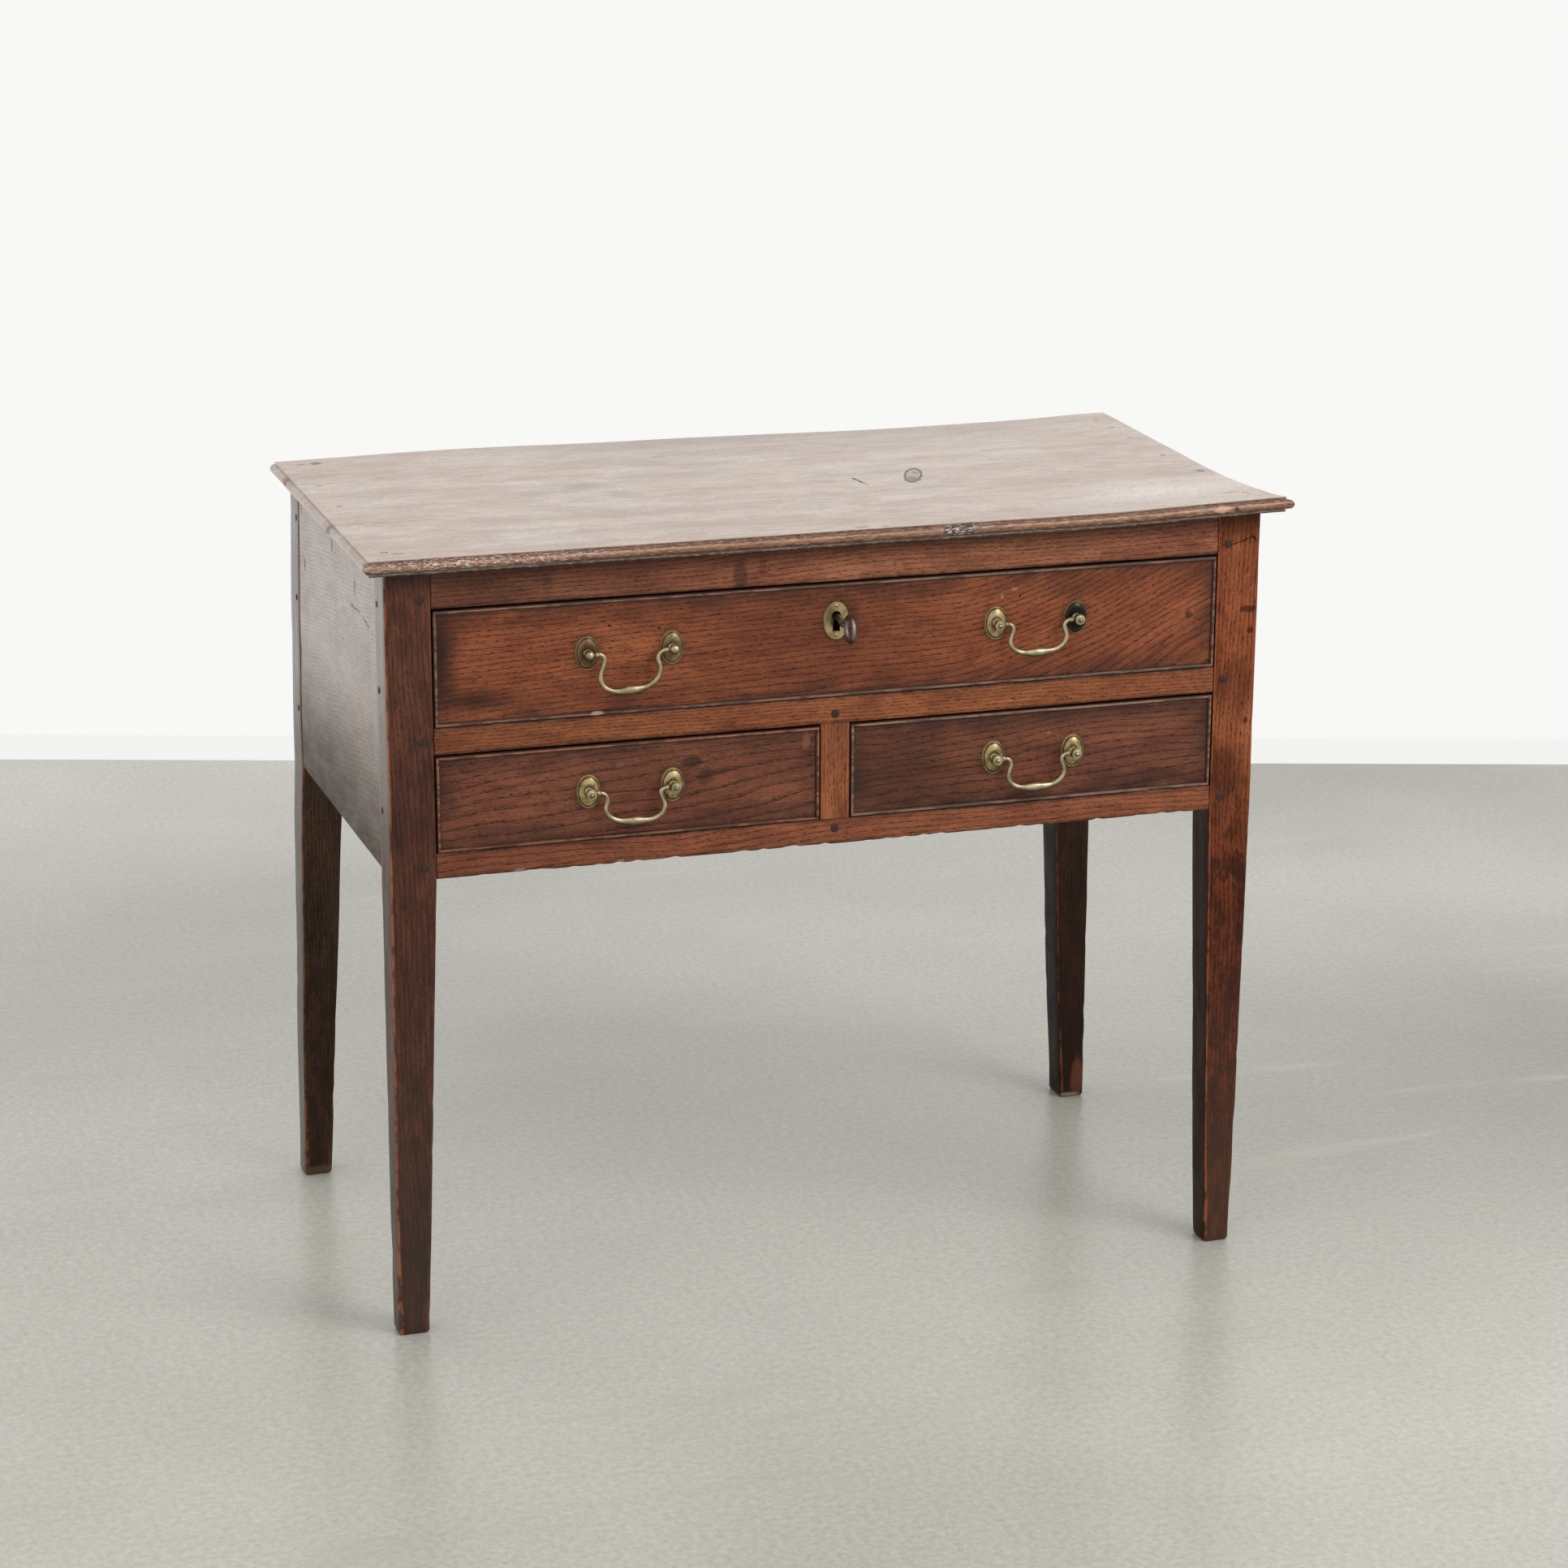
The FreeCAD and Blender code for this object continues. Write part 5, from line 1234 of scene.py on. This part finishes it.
# painted shade on the floor round and behind the table
FLOOR_SHADES = (((1000, 100, 0), (1100, 900, 100), 1.0), ((80, 450, 0), (700, 500, 100), 0.5),
                ((1300, 1300, 0), (1500, 900, 100), 0.7), ((-300, 1100, 0), (1500, 700, 100), 0.5))
FLOOR_SPECKS = (((4, 4, 4), 0.70, 0.76, "#8C877C", 0.7), ((420, 70, 70), 0.56, 0.72, "#BDB8AC", 0.5))


def concrete():
    """Polished concrete: pale grey, softly cloudy, with a dull shine that mirrors the feet."""
    stone = Finish("polished concrete", "#CCCCC3")
    cloud = stone.speckle(stone.place, (520, 520, 520), 5.0, 0.55)
    stone.lay(stone.add("MapRange", cloud, 0.3, 0.7, **EASED), "#D8D8CF")
    for at, size, strength in FLOOR_SHADES:
        stone.dim(stone.spot(stone.place, at, size, 1.0), "#C6C4C2", strength)
    grit = stone.speckle(stone.place, (7, 7, 7), 5.0, 0.7)
    stone.dim(stone.add("MapRange", grit, 0.3, 0.7), "#DCDCDA")
    for size, low, high, tone, most in FLOOR_SPECKS:
        specks = stone.speckle(stone.place, size, 4.0, 0.6)
        stone.lay(stone.add("MapRange", specks, low, high, **EASED), tone, most)
    shine = stone.speckle(stone.place, (300, 300, 300), 3.0)
    return stone.closed({"Roughness": stone.add("MapRange", shine, 0.3, 0.7, 0.24, 0.36)})


def wall_paint(name, tone):
    """Paint so evenly lit that it shows one tone; it isn't there when seen from behind."""
    paint = Finish(name, tone)
    glow = paint.add("Emission", paint.colour, 1.0)
    clear = paint.add("BsdfTransparent")
    behind = paint.add("NewGeometry", out="Backfacing")
    paint.add("OutputMaterial", paint.add("MixShader", behind, glow, clear), out=None)
    return paint.material


def backdrop():
    """A pale wall, its skirting and a grey polished floor."""
    bpy.ops.mesh.primitive_plane_add(size=FLOOR_SIZE, location=(0, 0, 0))
    floor = bpy.context.object
    floor.name = "floor"
    floor.data.materials.append(concrete())

    ahead = Vector((sin(WALL_HEADING), cos(WALL_HEADING), 0))
    aside = Vector((ahead.y, -ahead.x, 0)) * WALL_REACH
    points = []
    for away, height in ((WALL_AWAY, WALL_H), (WALL_AWAY - SKIRTING_OUT, SKIRTING_H)):
        left, right, rise = ahead * away - aside, ahead * away + aside, Vector((0, 0, height))
        points += [left, right, right + rise, left + rise]
    mesh = bpy.data.meshes.new("wall")
    mesh.from_pydata(points, [], [(0, 1, 2, 3), (4, 5, 6, 7)])
    wall = placed("wall", mesh)
    for name, tone in WALL_PAINTS:
        wall.data.materials.append(wall_paint(name, tone))
    wall.data.polygons[1].material_index = 1


def room():
    """Soft even daylight from a white room."""
    world = bpy.data.worlds.new("white room")
    bpy.context.scene.world = world
    world.use_nodes = True
    tree = world.node_tree
    tree.nodes.clear()
    path = put(tree, "ShaderNodeLightPath", out=None).outputs
    seen = put(tree, "ShaderNodeMath", path["Is Camera Ray"], path["Is Glossy Ray"], operation="MAXIMUM")
    light, view = (put(tree, "ShaderNodeBackground", linear(WHITE), strength) for strength in (0.8, 1.0))
    put(tree, "ShaderNodeOutputWorld", put(tree, "ShaderNodeMixShader", seen, light, view), out=None)


def window():
    """A wide lamp that makes the light a little stronger from the front right."""
    lamp = bpy.data.lights.new("window", "AREA")
    lamp.shape, lamp.size, lamp.energy = "DISK", 2.4, 60
    pane = placed("window", lamp)
    pane.location = (2.2, -2.6, 3.0)
    pane.rotation_euler = (Vector((0, 0, 0.5)) - pane.location).to_track_quat("-Z", "Y").to_euler()


CAMERA_PLACE = Vector((-1.08829, -3.48785, 1.51808))
YAW, PITCH, ROLL = 0.30563, -0.28616, 0.0032     # of the camera, in radians
CAMERA_LENS = 90.01


def camera():
    """A long lens a little above the table's top, from its front left."""
    ahead = Vector((sin(YAW) * cos(PITCH), cos(YAW) * cos(PITCH), sin(PITCH)))
    right = Vector((cos(YAW), -sin(YAW), 0))
    up = right.cross(ahead)
    tilted_right = right * cos(ROLL) + up * sin(ROLL)
    tilted_up = up * cos(ROLL) - right * sin(ROLL)
    lens = bpy.data.cameras.new("camera")
    lens.lens, lens.sensor_width, lens.clip_end = CAMERA_LENS, 36, 60
    eye = placed("camera", lens)
    turn = Matrix((tilted_right, tilted_up, -ahead)).transposed()
    eye.matrix_world = Matrix.Translation(CAMERA_PLACE) @ turn.to_4x4()
    bpy.context.scene.camera = eye


# ---- build ------------------------------------------------------------------
DRAWERS = ("long", "left", "right")
SIDES = ("left", "right")
legs = {(end, side): leg("leg_%s_%s" % (end, side)) for end in ("front", "back") for side in SIDES}
rails = {"top": rail("top_rail"), "middle": rail("middle_rail"), "bottom": rail("bottom_rail", ragged)}
upright = muntin()
sides = [side_board(side) for side in SIDES]
back = back_board()
top = [top_board(which) for which in TOP_BOARDS]
bead_sets = {drawer: beads(drawer) for drawer in DRAWERS}
bails = [used_bail("long_left_bail", -1.8, -1.9), used_bail("long_right_bail", -0.4, -0.5),
         used_bail("left_drawer_bail", 1.9, 0.8), used_bail("right_drawer_bail", 0.3, -0.4)]
posts = [soft_copy(drawer + "_drawer_handle_posts") for drawer in DRAWERS]
roses = {drawer: soft_copy(drawer + "_drawer_roses", 25) for drawer in DRAWERS}
plate = soft_copy("escutcheon", 25)
plate_pins = soft_copy("escutcheon_pins")
key = soft_copy("key")

finish_with(leg_left_oak(), legs["front", "left"])
finish_with(leg_right_oak(), legs["front", "right"])
for side in SIDES:
    finish_with(leg_back_oak(side), legs["back", side])
for which, looks in RAIL_LOOKS.items():
    finish_with(rail_oak(which, **looks), rails[which])
finish_with(muntin_oak(), upright)
finish_with(side_oak(), *sides)
back_oak = dry_oak("dry oak, back board", "X", ("#3E2C20", "#6B5140", "#8C7058"), (100, 300, 600))
finish_with(back_oak, back)
top_finish, peg_finish = top_oak(), peg_oak()
finish_with(top_finish, *top)
tree, keys = peg_tree()
for seed, name in enumerate(PEG_AXES):
    cut_pegs(name, tree, keys, top_finish if name == "top_pegs" else peg_finish, seed)

lining_oak = dry_oak("dry oak, drawer lining", "Y", ("#7A5A3C", "#A5835C", "#BE9D74"), (30, 600, 520),
                     "#5A3E26")
runner_oak = dry_oak("dry oak, runner", "Y", ("#5E4630", "#8A6C4C", "#A38562"), (200, 700, 500))
for drawer, looks in DRAWER_LOOKS.items():
    finish_with(drawer_oak(drawer, **looks), NODES[drawer + "_drawer_front"])
    finish_with(bead_oak(drawer, looks["heart"]), bead_sets[drawer])
    for part in ("side_left", "side_right", "back", "bottom"):
        finish_with(lining_oak, NODES["%s_drawer_%s" % (drawer, part)])
    finish_with(rose_brass(drawer), roses[drawer])
finish_with(runner_oak, *(NODES[name] for name, slot in SLOT.items() if slot == "oak_runners"))
finish_with(handled_brass(), *bails, *posts, plate_pins)
finish_with(escutcheon_brass(), plate)
finish_with(rubbed_iron(), key, NODES["lock_case"], NODES["lock_bolt"])

backdrop()
room()
window()
camera()
bpy.context.scene.view_settings.view_transform = "Standard"
